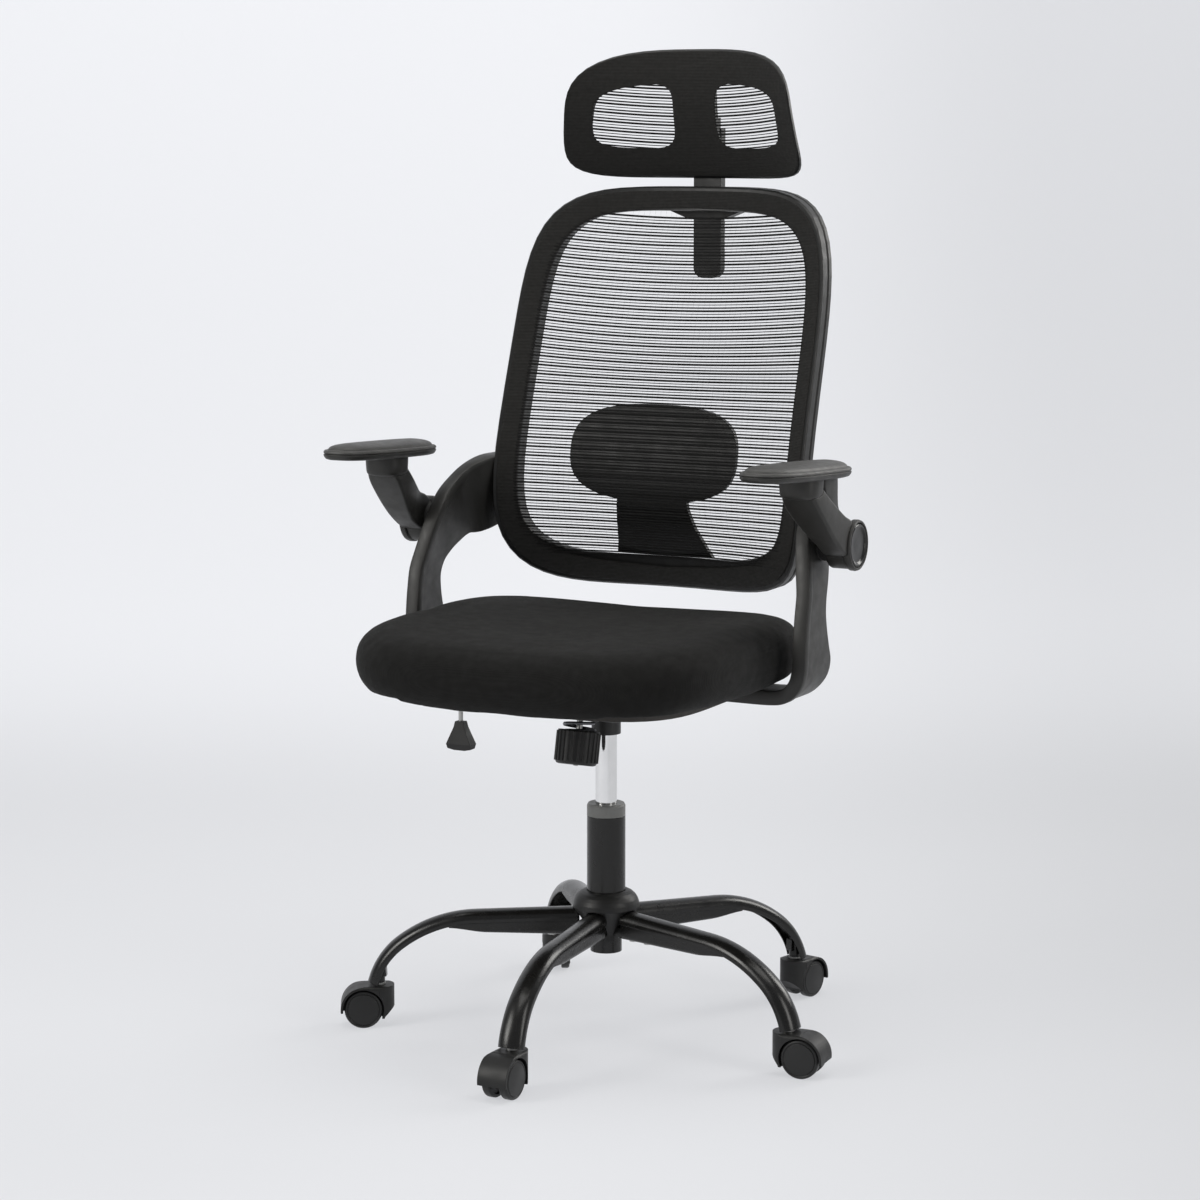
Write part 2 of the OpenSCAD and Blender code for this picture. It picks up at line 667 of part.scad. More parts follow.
module tension_knob() {
    ribs = 24;
    r = knob_d / 2;
    color("#2a2a2c") at_tension() translate([0, 0, -knob_drop]) difference() {
        union() {
            rotate_extrude($fn = 72) polygon([
                [0, 0], [r - 7, 0], [r - 3.5, 1], [r - 2, 3.5], [r - 1.4, knob_h - 2],
                [r - 2.2, knob_h], [r - 4.2, knob_h], [r - 4.2, 6.4], [9, 6.4], [9, 14], [0, 14]]);
            for (i = [0:ribs - 1]) rotate(360 * i / ribs) translate([r - 1.6, 0, 4])
                cylinder(r = 1.5, h = knob_h - 6, $fn = 16);
        }
        translate([0, 0, -1]) cylinder(r = 4 + run_gap, h = 20);
    }
}

lever_bend = 25;

module lever_bar(a, b) {
    d = b - a;
    length = norm(d);
    translate(a) rotate([0, acos(d[2] / length), atan2(d[1], d[0])]) cylinder(r = lever_r, h = length);
}

module height_lever() {
    hw = mech_w / 2;
    inner = [1, -1, lever_z];
    elbow = [-hw + 8, lever_y, lever_z];
    outer = [-lever_reach + 8, lever_y, lever_z];
    low = [-lever_reach, lever_y, lever_z - 12];
    tip = [-lever_reach, lever_y, lever_z - lever_bend - 24];
    points = [inner, elbow, outer, low, tip];
    color("#3c3c40") union() {
        for (i = [0:3]) lever_bar(points[i], points[i + 1]);
        for (i = [0:3]) translate(points[i]) sphere(r = lever_r + 0.2);
    }
}

paddle_h = 38;

module lever_paddle() {
    top = lever_z - lever_bend - 17;
    color("#222224") translate([-lever_reach, lever_y, top]) difference() {
        intersection() {
            along_y(-8, 8) polygon([[-6, 0], [6, 0], [8, -8], [18, -30], [17, -36], [8, -paddle_h],
                [-8, -paddle_h], [-17, -36], [-18, -30], [-8, -8]]);
            along_x(-20, 20) polygon([[-5, 1], [5, 1], [6, -10], [8, -30], [5, -paddle_h - 1],
                [-5, -paddle_h - 1], [-8, -30], [-6, -10]]);
        }
        translate([0, 0, -9]) cylinder(r = lever_r + 0.02, h = 12);
    }
}

// Seat
plate_w = 164;
plate_front = -112;
plate_rear = 96;
seat_bolt_x = 66;
seat_bolt_y = [-90, 74];

module seat_plate() {
    cheek_x = mech_w / 2 + 0.6;
    color("#1a1a1b") difference() {
        union() {
            translate([0, (plate_front + plate_rear) / 2, plate_z]) linear_extrude(mech_t)
                rounded_rect([plate_w, plate_rear - plate_front], 14);
            for (s = [0, 1]) mirror([s, 0, 0]) along_x(cheek_x, cheek_x + mech_t) {
                translate([-pivot_fwd, pivot_z]) circle(pivot_d / 2 + 7);
                translate([-pivot_fwd - pivot_d / 2 - 7, pivot_z]) square([pivot_d + 14, plate_z - pivot_z + 1]);
            }
            for (s = [0, 1]) mirror([s, 0, 0]) along_x(lug_x, lug_x + mech_t) {
                translate([-tension_fwd, tension_z]) circle(lug_r);
                translate([-tension_fwd - lug_r, tension_z]) square([2 * lug_r, plate_z - tension_z + 1]);
            }
        }
        translate([0, -pivot_fwd, pivot_z]) rod_x(pivot_d / 2 + run_gap, -mech_w, mech_w);
        translate([0, -tension_fwd, tension_z]) rod_x(tension_pin_r + 0.05, -mech_w, mech_w);
        for (x = [-seat_bolt_x, seat_bolt_x], y = seat_bolt_y)
            translate([x, y, plate_z - 1]) cylinder(r = 3.2, h = mech_t + 2);
    }
}

module screw_up(head_z, tip_z) {
    translate([0, 0, head_z - 4]) cylinder(r = 5.8, h = 4, $fn = 6);
    translate([0, 0, head_z - 1]) cylinder(r = 3, h = tip_z - head_z + 1);
}

module seat_bolts() {
    color("silver") for (x = [-seat_bolt_x, seat_bolt_x], y = seat_bolt_y)
        translate([x, y, 0]) screw_up(plate_z - 0.1, board_top - 1);
}

board_w = seat_w - 110;
board_l = seat_l - 110;
board_y = -seat_fwd + 8;
seat_power = 4;
foot_in = 110;
foot_t = 12;
foot_y0 = -16;
foot_y1 = 53;
foot_bolt_x = [128, 168];
foot_bolt_y = (foot_y0 + foot_y1) / 2;

module seat_board() {
    color("burlywood") difference() {
        translate([0, board_y, board_z]) linear_extrude(board_t)
            polygon(super_ellipse(board_w / 2, board_l / 2, seat_power, 64));
        for (x = [-seat_bolt_x, seat_bolt_x], y = seat_bolt_y)
            translate([x, y, board_z - 1]) cylinder(r = 3.05, h = board_t + 2);
        for (s = [-1, 1], x = foot_bolt_x)
            translate([s * x, foot_bolt_y, board_z - 1]) cylinder(r = 3.05, h = board_t + 2);
    }
}

// Cushion rings run from the middle of its underside out round the rim to the crown
cushion_z = board_top + 0.3;
function cushion_dip(x, y) =
    let(u = x / (seat_w / 2), v = y / (seat_l / 2))
    10 * u * u - 4 * smooth((-v - 0.35) / 0.65) - 3 * max(v, 0);
function cushion_rim_drop(v) = front_drop * smooth((-v - 0.55) / 0.4);

function cushion_ring(scale_xy, level, n) = [for (i = [0:n - 1])
    let(power = i > n / 2 ? seat_power - 0.8 : seat_power + 0.2,
        p = super_point(seat_w / 2 * scale_xy, seat_l / 2 * scale_xy, power, i, n),
        v = p[1] / (seat_l / 2),
        low = cushion_z - (scale_xy > 0.9 ? cushion_rim_drop(v / scale_xy) : 0),
        high = cushion_z + cushion_h - 10 + cushion_dip(p[0], p[1]))
    [p[0], p[1] - seat_fwd, level < 0 ? cushion_z : mix(low, high, level)]];

module seat_cushion() {
    n = 48;
    color("#161617") loft([
        cushion_ring(0.5, -1, n), cushion_ring(0.86, -1, n), cushion_ring(0.9, 0, n),
        cushion_ring(0.948, 0.07, n), cushion_ring(0.986, 0.24, n), cushion_ring(1, 0.48, n),
        cushion_ring(0.994, 0.72, n), cushion_ring(0.97, 0.88, n), cushion_ring(0.92, 0.97, n),
        cushion_ring(0.8, 0.99, n), cushion_ring(0.6, 0.99, n), cushion_ring(0.3, 0.96, n), cushion_ring(0.01, 0.95, n)]);
}

// Side brackets: a foot under the board, a post beside the cushion, and a wing to the back frame
knuckle_y = 61;
knuckle_z = board_top + 175;
bracket_bend = 50;
foot_z = board_z - foot_t;
lean_z = foot_z + 140;
lean = 10;
eye_r = 22;
bracket_x = seat_w / 2 + bracket_gap + bracket_t;

// Catmull-Rom curve through the points of a closed outline
function spline_at(p, i, t) = let(n = len(p), a = p[(i + n - 1) % n], b = p[i], c = p[(i + 1) % n],
    d = p[(i + 2) % n])
    0.5 * (2 * b + (c - a) * t + (2 * a - 5 * b + 4 * c - d) * t * t + (3 * b - a - 3 * c + d) * t * t * t);
function closed_spline(p, steps) = [for (i = [0:len(p) - 1], j = [0:steps - 1]) spline_at(p, i, j / steps)];

function bracket_side() = [for (p = [
    [-14, -1], [-23, 30], [-20, 88], [-19, 140], [2, 180], [14, 205], [31, 236], [64, 249], [93, 272],
    [110, 286], [146, 280], [146, 176], [106, 178], [88, 175], [72, 155], [54, 136], [43, 112], [43, 90],
    [56, 64], [66, 43], [60, 18], [53, -1]]) [p[0], foot_z + p[1]]];

module bracket_front_view() {
    x1 = bracket_x;
    x0 = bracket_x - bracket_t;
    cx = bracket_x - bracket_bend;
    cz = foot_z + bracket_bend;
    top = 140;
    union() {
        translate([foot_in, foot_z]) square([cx - foot_in + 0.1, foot_t]);
        intersection() {
            translate([cx, cz]) difference() {
                circle(bracket_bend, $fn = 72);
                circle(bracket_bend - foot_t, $fn = 72);
            }
            translate([cx, foot_z - 1]) square([bracket_bend + 1, bracket_bend + 1]);
        }
        polygon([[x0, cz - 0.1], [x1, cz - 0.1], [x1, lean_z], [x1 - top * tan(lean), lean_z + top],
                 [x0 - top * tan(lean), lean_z + top], [x0, lean_z]]);
    }
}

module bracket_plan() {
    x = frame_a;
    w = bracket_x - frame_a;
    polygon([[x + w - 10, 38], [x + w - 15, 66], [x + 0.57 * w, 96], [x + 0.32 * w, 116], [x + 0.22 * w, 146],
             [x - 12, 146], [x - 12, 108], [x + 0.13 * w, 98], [x + 0.38 * w, 78], [x + w - 29, 38]]);
}

module side_bracket() {
    difference() {
        union() {
            intersection() {
                along_x(0, bracket_x + 5) polygon(closed_spline(bracket_side(), 3));
                union() {
                    along_y(-60, knuckle_y + 14) bracket_front_view();
                    translate([0, 0, lean_z + 30]) linear_extrude(200) bracket_plan();
                }
            }
            translate([0, knuckle_y, knuckle_z]) rod_x(eye_r, bracket_x - 26, bracket_x);
        }
        along_y(-200, 400) translate([0, frame_mid_z]) offset_outline(0.3);
        translate([0, knuckle_y, knuckle_z]) rod_x(8 + run_gap, 0, bracket_x + 10);
        for (x = foot_bolt_x) translate([x, foot_bolt_y, foot_z - 1]) cylinder(r = 3.2, h = foot_t + 2);
    }
}

module left_bracket() { color("#29292b") side_bracket(); }
module right_bracket() { color("#29292b") mirror([1, 0, 0]) side_bracket(); }

module bracket_bolts() {
    color("silver") for (s = [-1, 1], x = foot_bolt_x)
        translate([s * x, foot_bolt_y, 0]) screw_up(foot_z - 0.1, board_top - 1);
}

// Arms: a knuckle on the bracket's pivot, a strut and a block under the pad
arm_x0 = bracket_x + 0.6;
arm_x1 = arm_x0 + knuckle_w;
arm_web = 15;
pad_x = bracket_x + pad_out;
pad_y = -68;
pad_top = board_top + pad_rise;
pad_pitch = 3;
pad_toe = 2;
block_r = 25;
block_y = pad_y + 15;
arm_top = pad_top - pad_t + 8;
arm_rear = knuckle_y - 48;

module at_pad() {
    translate([pad_x, pad_y, pad_top - pad_t / 2]) rotate([-pad_pitch, 0, -pad_toe]) children();
}

function arm_web_side() = [
    [block_y - block_r, arm_top], [block_y - block_r, arm_top - 26], [block_y, arm_top - 34],
    [block_y + 22, arm_top - 60], [block_y + 52, arm_top - 86], [knuckle_y - knuckle_d / 2 + 1, knuckle_z - 5],
    [knuckle_y, knuckle_z], [knuckle_y - 12, knuckle_z + 36], [arm_rear, arm_top - 46], [arm_rear, arm_top]];

function arm_rib_side() = [
    [arm_rear - 34, arm_top], [arm_rear - 33, arm_top - 34], [arm_rear - 4, arm_top - 66],
    [knuckle_y - 26, knuckle_z + 14], [knuckle_y, knuckle_z], [knuckle_y - 12, knuckle_z + 36],
    [arm_rear, arm_top - 46], [arm_rear, arm_top]];

module side_arm() {
    difference() {
        union() {
            along_x(arm_x0, arm_x0 + arm_web) polygon(arm_web_side());
            along_x(arm_x0 + arm_web - 1, arm_x1) polygon(arm_rib_side());
            translate([pad_x, block_y, arm_top - 30]) cylinder(r = block_r, h = 30);
            translate([0, knuckle_y, knuckle_z]) rod_x(knuckle_d / 2, arm_x0, arm_x1);
            translate([0, knuckle_y, knuckle_z]) rod_x(8, bracket_x - 28, arm_x0 + 1);
        }
        at_pad() translate([-150, -250, -pad_t / 2 - 0.05]) cube([300, 500, 60]);
        translate([arm_x1 - 3, knuckle_y, knuckle_z]) rod_x(knuckle_d / 2 - 3, 0, 10);
    }
}

module side_arm_cap() {
    r = knuckle_d / 2 - 3.2;
    translate([arm_x1 - 2.9, knuckle_y, knuckle_z]) rotate([0, 90, 0]) rotate_extrude($fn = 72)
        polygon([[0, 0], [r, 0], [r, 7], [r - 1.5, 8.5], [r - 4, 9], [r - 5, 8], [r - 9, 8.4], [0, 9.4]]);
}

module side_arm_pad() {
    n = 36;
    half_w = pad_w / 2;
    half_l = pad_l / 2;
    at_pad() loft([for (q = [[0.5, -10], [0.9, -10], [0.97, -8], [1, -3], [1, 2], [0.97, 6.5], [0.91, 9], [0.8, 10],
                        [0.4, 10.6]])
            [for (p = super_ellipse(half_w * (1 - (1 - q[0]) * half_l / half_w * 0.6),
                                    half_l * (1 - (1 - q[0]) * 0.55), 3, n))
                [p[0], p[1], q[1] * pad_t / 20]]]);
}

module left_arm() { color("#29292b") side_arm(); }
module right_arm() { color("#29292b") mirror([1, 0, 0]) side_arm(); }
module left_arm_cap() { color("#111112") side_arm_cap(); }
module right_arm_cap() { color("#111112") mirror([1, 0, 0]) side_arm_cap(); }
module left_arm_pad() { color("#2c2c2e") side_arm_pad(); }
module right_arm_pad() { color("#2c2c2e") mirror([1, 0, 0]) side_arm_pad(); }

// Back frame
frame_power_top = 4.7;
frame_power_low = 5;
function frame_power(v) = v > 0 ? frame_power_top : frame_power_low;
frame_taper = 0.017;
frame_low = board_top + back_gap;
frame_mid_z = frame_low + back_h / 2;
frame_a = back_w / 2;
frame_b = back_h / 2;
frame_n = 72;

// Front face of the frame on the middle line, by height from -1 at the bottom to 1 at the top
function spine_y(v) = 198.4 + v * (87.5 + v * (10.3 + v * (-50.2 + v * 21.6)));
function wrap_y(x) = wrap_r - sqrt(wrap_r * wrap_r - x * x);
function face_y(x, z) = spine_y((z - frame_mid_z) / frame_b) - wrap_y(x);

// Point i of n on the frame's outline, with half axes a and b; u below 1 rounds it towards an ellipse
function frame_point(a, b, i, n, u = 1) =
    super_point(a * u, b * u, mix(2.4, frame_power(n / 2 - i), u), i, n);

module offset_outline(gap) {
    polygon([for (i = [0:frame_n - 1]) let(p = frame_point(frame_a + gap, frame_b + gap, i, frame_n))
        [p[0] * (1 - frame_taper * p[1] / frame_b), p[1]]]);
}

// How wide the rail is at height v: taller at the bottom than at the sides and the top
function rail_at(v) = rail_w + 4 * smooth((v - 0.7) / 0.3) + 16 * smooth((-v - 0.6) / 0.4);

function frame_section(p) =
    let(v = p[1] / frame_b, w = rail_at(v),
        q = [p[0] * (frame_a - rail_w) / frame_a, p[1] * (frame_b - w) / frame_b],
        y = face_y(p[0], p[1] + frame_mid_z), d = rail_d)
    [for (s = [[0.06, 0], [0, 3], [0, 0.45 * d], [0.05, 0.5 * d], [0.05, 0.58 * d], [0, 0.63 * d],
               [0, d - 5], [0.1, d], [0.75, d], [0.92, d - 8], [1, 5], [0.97, 0.6]])
        let(x = mix(p[0], q[0], s[0]) * (1 - frame_taper * v), z = mix(p[1], q[1], s[0]))
        [x, face_y(x, z + frame_mid_z) + s[1], z + frame_mid_z]];

module back_frame() {
    color("#1f1f20") difference() {
        loop_loft([for (i = [0:frame_n - 1]) frame_section(frame_point(frame_a, frame_b, i, frame_n))]);
        translate([-receiver_flare - 0.1, receiver_y0 - 0.1, receiver_top - 300])
            cube([2 * receiver_flare + 0.2, 60, 300.1]);
    }
}

// Outline of the frame's opening, drawn in by inset
module opening_outline(inset) {
    translate([0, frame_mid_z]) polygon([for (i = [0:frame_n - 1])
        let(p = frame_point(frame_a, frame_b, i, frame_n), w = rail_at(p[1] / frame_b) + inset)
        [p[0] * (frame_a - rail_w - inset) / frame_a * (1 - frame_taper * p[1] / frame_b),
         p[1] * (frame_b - w) / frame_b]]);
}

// A plain grid of openings that stands for the open weave of the mesh
mesh_bar_w = 6;
mesh_bar_h = 10;

module mesh_slots(columns, rows, half_w, low, high, bar_h = mesh_bar_h) {
    across = 2 * half_w / columns;
    up = (high - low) / rows;
    for (i = [0:columns - 1], j = [0:rows - 1])
        translate([-half_w + across * i + mesh_bar_w / 2, low + up * j + bar_h / 2])
            square([across - mesh_bar_w, up - bar_h]);
}

// The mesh lies on the frame's front face and spans its opening
mesh_t = 1.6;
mesh_gap = 0.9;
function mesh_y(x, z) =
    let(v = (z - frame_mid_z) / (frame_b - rail_w), inside = max(0, 1 - pow(abs(v), 3)),
        ax = (frame_a - rail_w) * (1 - frame_taper * v)
            * pow(max(0, 1 - pow(min(abs(v), 1), frame_power(v))), 1 / frame_power(v)),
        edge = min(abs(x) > ax ? 0 : 1, 1))
    spine_y((z - frame_mid_z) / frame_b)
        - mix(wrap_y(x), wrap_y(ax), edge * inside);

module back_mesh() {
    n = 48;
    levels = [0.01, 0.3, 0.6, 0.8, 0.95];
    inset = 5;
    function sheet(u, lift) = [for (i = [0:n - 1])
        let(p = frame_point(frame_a - inset, frame_b - inset, i, n, u),
            z = p[1] + frame_mid_z, x = p[0] * (1 - frame_taper * p[1] / frame_b))
        [x, mesh_y(x, z) - mesh_gap - lift, z]];
    color("#19191a") difference() {
        loft(concat(
            [for (u = levels) sheet(u, 0)], [sheet(1, 0)], [sheet(1, mesh_t)],
            [for (i = [4:-1:0]) sheet(levels[i], mesh_t)]));
        along_y(-100, 400) intersection() {
            opening_outline(2);
            mesh_slots(3, 10, frame_a - rail_w, frame_mid_z - frame_b + rail_at(-1), frame_mid_z + frame_b - rail_at(1));
        }
    }
}

// Lumbar pad and its stem, behind the mesh
lumbar_z = board_top + 268;
lumbar_t = 8;

module lumbar_outline() {
    half_gap = 47;
    base_z = frame_low + rail_at(-1) - 8;
    intersection() {
        union() {
            translate([0, lumbar_z]) polygon(super_ellipse(lumbar_w / 2, lumbar_h / 2, 2.8, 48));
            polygon(concat(
                [for (i = [0:6]) let(t = i / 6) [half_gap + 26 * pow(1 - t, 2.4), mix(base_z, lumbar_z, t)]],
                [for (i = [6:-1:0]) let(t = i / 6) [-half_gap - 26 * pow(1 - t, 2.4), mix(base_z, lumbar_z, t)]]));
        }
        opening_outline(0.3);
    }
}

module lumbar_support() {
    steps = 10;
    z0 = frame_low + 20;
    z1 = lumbar_z + lumbar_h / 2 + 4;
    pad_low = lumbar_z - lumbar_h / 2;
    front = [for (i = [0:steps]) let(z = mix(z0, z1, i / steps), t = smooth((z - z0) / (pad_low - z0)))
        [mix(face_y(0, z0) + 2, mesh_y(0, max(z, pad_low)) + 4, t), z]];
    color("#161617") intersection() {
        along_y(0, 400) lumbar_outline();
        along_x(-lumbar_w, lumbar_w) polygon(concat(front,
            [for (i = [steps:-1:0]) front[i] + [lumbar_t, 0]]));
    }
}

// Headrest: a receiver behind the frame's top rail, a post that slides in it, and a tilting head
post_y = 313;
receiver_w = post_w + 7;
receiver_y0 = 299;
receiver_y1 = post_y + post_t / 2 + 4;
receiver_top = frame_low + back_h - 5;
post_len = 118;
receiver_drop = 11;
receiver_flare = 52;
head_low = frame_low + back_h + head_gap;
hinge_z = head_low + 68;
hinge_y = 296;
hinge_r = 7;

module headrest_receiver() {
    r = receiver_w / 2;
    rail_low = frame_low + back_h - rail_at(1);
    low = rail_low - receiver_drop;
    color("#1f1f20") difference() {
        along_y(receiver_y0, receiver_y1) polygon([
            [-receiver_flare, rail_low + 10], [-receiver_flare, rail_low - 1], [-r - 8, low + 2], [-r, low],
            [r, low], [r + 8, low + 2], [receiver_flare, rail_low - 1], [receiver_flare, rail_low + 10],
            [r, rail_low + 18], [r, receiver_top], [-r, receiver_top], [-r, rail_low + 18]]);
        translate([-post_w / 2 - 0.4, post_y - post_t / 2 - 0.4, low - 1])
            cube([post_w + 0.8, post_t + 0.8, receiver_top - low + 2]);
    }
}

module headrest_post() {
    teeth = 8;
    low = receiver_top - post_len;
    high = hinge_z + 12;
    front = post_y - post_t / 2;
    end_r = 14;
    color("#222224") difference() {
        union() {
            translate([-post_w / 2, front, low + end_r]) cube([post_w, post_t, high - 14 - low - end_r]);
            translate([-post_w / 2 + end_r, front, low]) cube([post_w - 2 * end_r, post_t, end_r + 1]);
            for (s = [-1, 1]) translate([s * (post_w / 2 - end_r), front + post_t, low + end_r])
                rotate([90, 0, 0]) cylinder(r = end_r, h = post_t);
            translate([-post_w / 2 + 7, front, low + end_r]) cube([post_w - 14, post_t, high - low - end_r]);
            for (s = [0, 1]) mirror([s, 0, 0]) {
                translate([0, hinge_y, hinge_z]) rod_x(hinge_r, 8, 16);
                translate([8, hinge_y, hinge_z - hinge_r]) cube([8, front - hinge_y + 1, 2 * hinge_r]);
            }
        }
        for (i = [0:teeth - 1]) translate([-post_w, front + post_t - 1.2, low + 40 + 9 * i])
            cube([2 * post_w, 2.2, 3]);
        translate([0, hinge_y, hinge_z]) rod_x(3 + run_gap, -40, 40);
    }
}

module headrest_pin() {
    color("silver") translate([0, hinge_y, hinge_z]) rod_x(3, -20, 20);
}

head_mid_z = head_low + head_h / 2;
head_wrap_r = 242;
head_band = 38;
head_side = 30;
pillar_w = 56;
head_taper = 0.067;
function head_wrap(x) = head_wrap_r - sqrt(head_wrap_r * head_wrap_r - x * x);
function head_face(x, v) = 265 - 17 * v + 18 * v * v - head_wrap(x) * (1 + 0.065 * v);

// Point of the headrest's outline in (x, v), flatter below than above
function head_point(i, n, u = 1) =
    let(p = super_point(1, 1, i < n / 2 ? mix(2.4, 3.2, u) : mix(2.6, 6.4, u), i, n))
    [u * p[0] * head_w / 2 * (1 - head_taper * u * p[1]), u * p[1]];

module headrest_frame() {
    n = 56;
    d = 12;
    half_h = head_h / 2;
    rear = post_y - post_t / 2 - 1;
    color("#1f1f20") difference() {
        union() {
            loop_loft([for (i = [0:n - 1]) let(p = head_point(i, n),
                    q = [p[0] * (1 - 2 * head_side / head_w), p[1] * (1 - head_band / half_h)])
                [for (s = [[0.08, 0], [0, 3], [0, d - 3], [0.1, d], [0.9, d], [1, d - 3], [1, 2], [0.95, 0]])
                    let(x = mix(p[0], q[0], s[0]), v = mix(p[1], q[1], s[0]))
                    [x, head_face(x, v) + s[1], v * half_h + head_mid_z]]]);
            intersection() {
                along_x(-pillar_w / 2, pillar_w / 2) polygon(concat(
                    [for (v = [-0.9:0.2:0.91]) [head_face(0, v) + 1, head_mid_z + v * half_h]],
                    [for (v = [0.9:-0.2:-0.91]) [head_face(0, v) + d, head_mid_z + v * half_h]]));
                translate([-pillar_w / 2, 0, head_low]) cube([pillar_w, rear, head_h]);
            }
            translate([0, hinge_y, hinge_z]) rod_x(hinge_r, -7, 7);
            translate([-7, head_face(0, 0) + 8, hinge_z - hinge_r])
                cube([14, hinge_y - head_face(0, 0) - 8, 2 * hinge_r]);
        }
        translate([0, hinge_y, hinge_z]) rod_x(3.02, -8, 8);
        translate([-post_w / 2 - 2, rear, head_low - 10]) cube([post_w + 4, 60, 60]);
    }
}

module headrest_mesh() {
    n = 48;
    function sheet(u, lift) = [for (i = [0:n - 1]) let(p = head_point(i, n, u))
        [p[0] * 0.975, head_face(p[0] * 0.975, p[1] * 0.96) - mesh_gap - 0.3 - lift, p[1] * 0.96 * head_h / 2 + head_mid_z]];
    color("#19191a") difference() {
        loft(concat(
            [for (u = [0.01, 0.3, 0.6, 0.85, 1]) sheet(u, 0)],
            [for (u = [1, 0.85, 0.6, 0.3, 0.01]) sheet(u, mesh_t)]));
        along_y(100, 400) difference() {
            wide = head_w / 2 - head_side - 2;
            high = head_h / 2 - head_band - 2;
            intersection() {
                translate([0, head_mid_z]) polygon([for (i = [0:n - 1]) let(p = head_point(i, n))
                    [p[0] * 2 * wide / head_w, p[1] * high]]);
                mesh_slots(2, 4, wide, head_mid_z - high, head_mid_z + high, mesh_bar_h - 2);
            }
            translate([0, head_mid_z]) square([pillar_w + 4, head_h], center = true);
        }
    }
}

base_hub();
base_leg(0);  // base_leg_1
base_leg(1);  // base_leg_2
base_leg(2);  // base_leg_3
base_leg(3);  // base_leg_4
base_leg(4);  // base_leg_5
leg_braces();
leg_bolts();
stem_sockets();
hub_cover();
caster_stems();
caster_hood(0);  // caster_hood_1
caster_hood(1);  // caster_hood_2
caster_hood(2);  // caster_hood_3
caster_hood(3);  // caster_hood_4
caster_hood(4);  // caster_hood_5
caster_wheels(0);  // caster_wheels_1
caster_wheels(1);  // caster_wheels_2
caster_wheels(2);  // caster_wheels_3
caster_wheels(3);  // caster_wheels_4
caster_wheels(4);  // caster_wheels_5
lift_tube();
lift_bush();
lift_bearing();
piston_rod();
lift_clip();
gas_cylinder();
rod_seal();
release_pin();
mechanism_housing();
tilt_pin();
tension_pin();
tension_bolt();
tension_spring();
tension_knob();
height_lever();
lever_paddle();
seat_plate();
seat_bolts();
seat_board();
seat_cushion();
left_bracket();
right_bracket();
bracket_bolts();
left_arm();
left_arm_cap();
left_arm_pad();
right_arm();
right_arm_cap();
right_arm_pad();
back_frame();
back_mesh();
lumbar_support();
headrest_receiver();
headrest_post();
headrest_pin();
headrest_frame();
headrest_mesh();
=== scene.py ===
"""Looks of a swivel office chair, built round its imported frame.

Lengths are millimetres in the shape functions and metres in Blender. +Z is up and the sitter faces -Y.
"""
import json
import math

import bpy
import numpy as np
from mathutils import Matrix, Vector
from mathutils.geometry import delaunay_2d_cdt


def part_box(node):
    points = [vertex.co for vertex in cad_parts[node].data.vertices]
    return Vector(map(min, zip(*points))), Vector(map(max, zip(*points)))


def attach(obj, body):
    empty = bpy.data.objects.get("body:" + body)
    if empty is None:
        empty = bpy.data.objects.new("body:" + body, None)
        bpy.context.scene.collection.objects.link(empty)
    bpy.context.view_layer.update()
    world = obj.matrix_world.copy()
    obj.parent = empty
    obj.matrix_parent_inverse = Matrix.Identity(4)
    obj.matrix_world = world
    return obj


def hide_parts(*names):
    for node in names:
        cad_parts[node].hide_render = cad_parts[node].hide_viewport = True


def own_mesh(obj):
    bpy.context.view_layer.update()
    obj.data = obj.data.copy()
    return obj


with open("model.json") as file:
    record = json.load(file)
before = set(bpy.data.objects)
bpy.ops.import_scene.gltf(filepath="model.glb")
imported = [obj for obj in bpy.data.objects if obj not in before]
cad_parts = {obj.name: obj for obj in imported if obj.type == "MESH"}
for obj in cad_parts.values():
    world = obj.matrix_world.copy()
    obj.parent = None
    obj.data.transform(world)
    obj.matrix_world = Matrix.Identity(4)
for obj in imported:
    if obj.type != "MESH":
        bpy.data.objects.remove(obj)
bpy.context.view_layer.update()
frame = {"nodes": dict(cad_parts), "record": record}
NODES = frame["nodes"]
MM = 0.001
TAU = 2 * math.pi


# ---------------------------------------------------------------- small helpers
def mix(a, b, t):
    """The value at share t of the way from a to b."""
    return a + (b - a) * t


def smooth(t):
    """An even rise from 0 to 1 as t goes from 0 to 1, level before and after."""
    u = min(max(t, 0.0), 1.0)
    return u * u * (3 - 2 * u)


def signed_pow(v, p):
    """v to the power p, with v's own sign."""
    return math.copysign(abs(v) ** p, v)


def super_point(a, b, power, t):
    """Point at t of 0 to 1 round a superellipse, spaced evenly along its curve."""
    v = 4 * (t % 1.0)
    q = math.floor(v)
    angle = math.pi / 2 * (q + math.sin(math.pi / 2 * (v - q)) ** 2)
    return a * signed_pow(math.cos(angle), 2 / power), b * signed_pow(math.sin(angle), 2 / power)


def box_mm(node):
    """Lowest and highest corner of a CAD node's box, in millimetres."""
    low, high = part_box(node)
    return low * 1000, high * 1000


def new_mesh(name, points, faces, sharp=40):
    """A new object from points in millimetres, shaded smooth except at edges sharper than sharp degrees."""
    mesh = bpy.data.meshes.new(name)
    mesh.from_pydata([(x * MM, y * MM, z * MM) for x, y, z in points], [], faces)
    mesh.validate()
    mesh.shade_smooth()
    mesh.set_sharp_from_angle(angle=math.radians(sharp))
    obj = bpy.data.objects.new(name, mesh)
    bpy.context.scene.collection.objects.link(obj)
    return obj


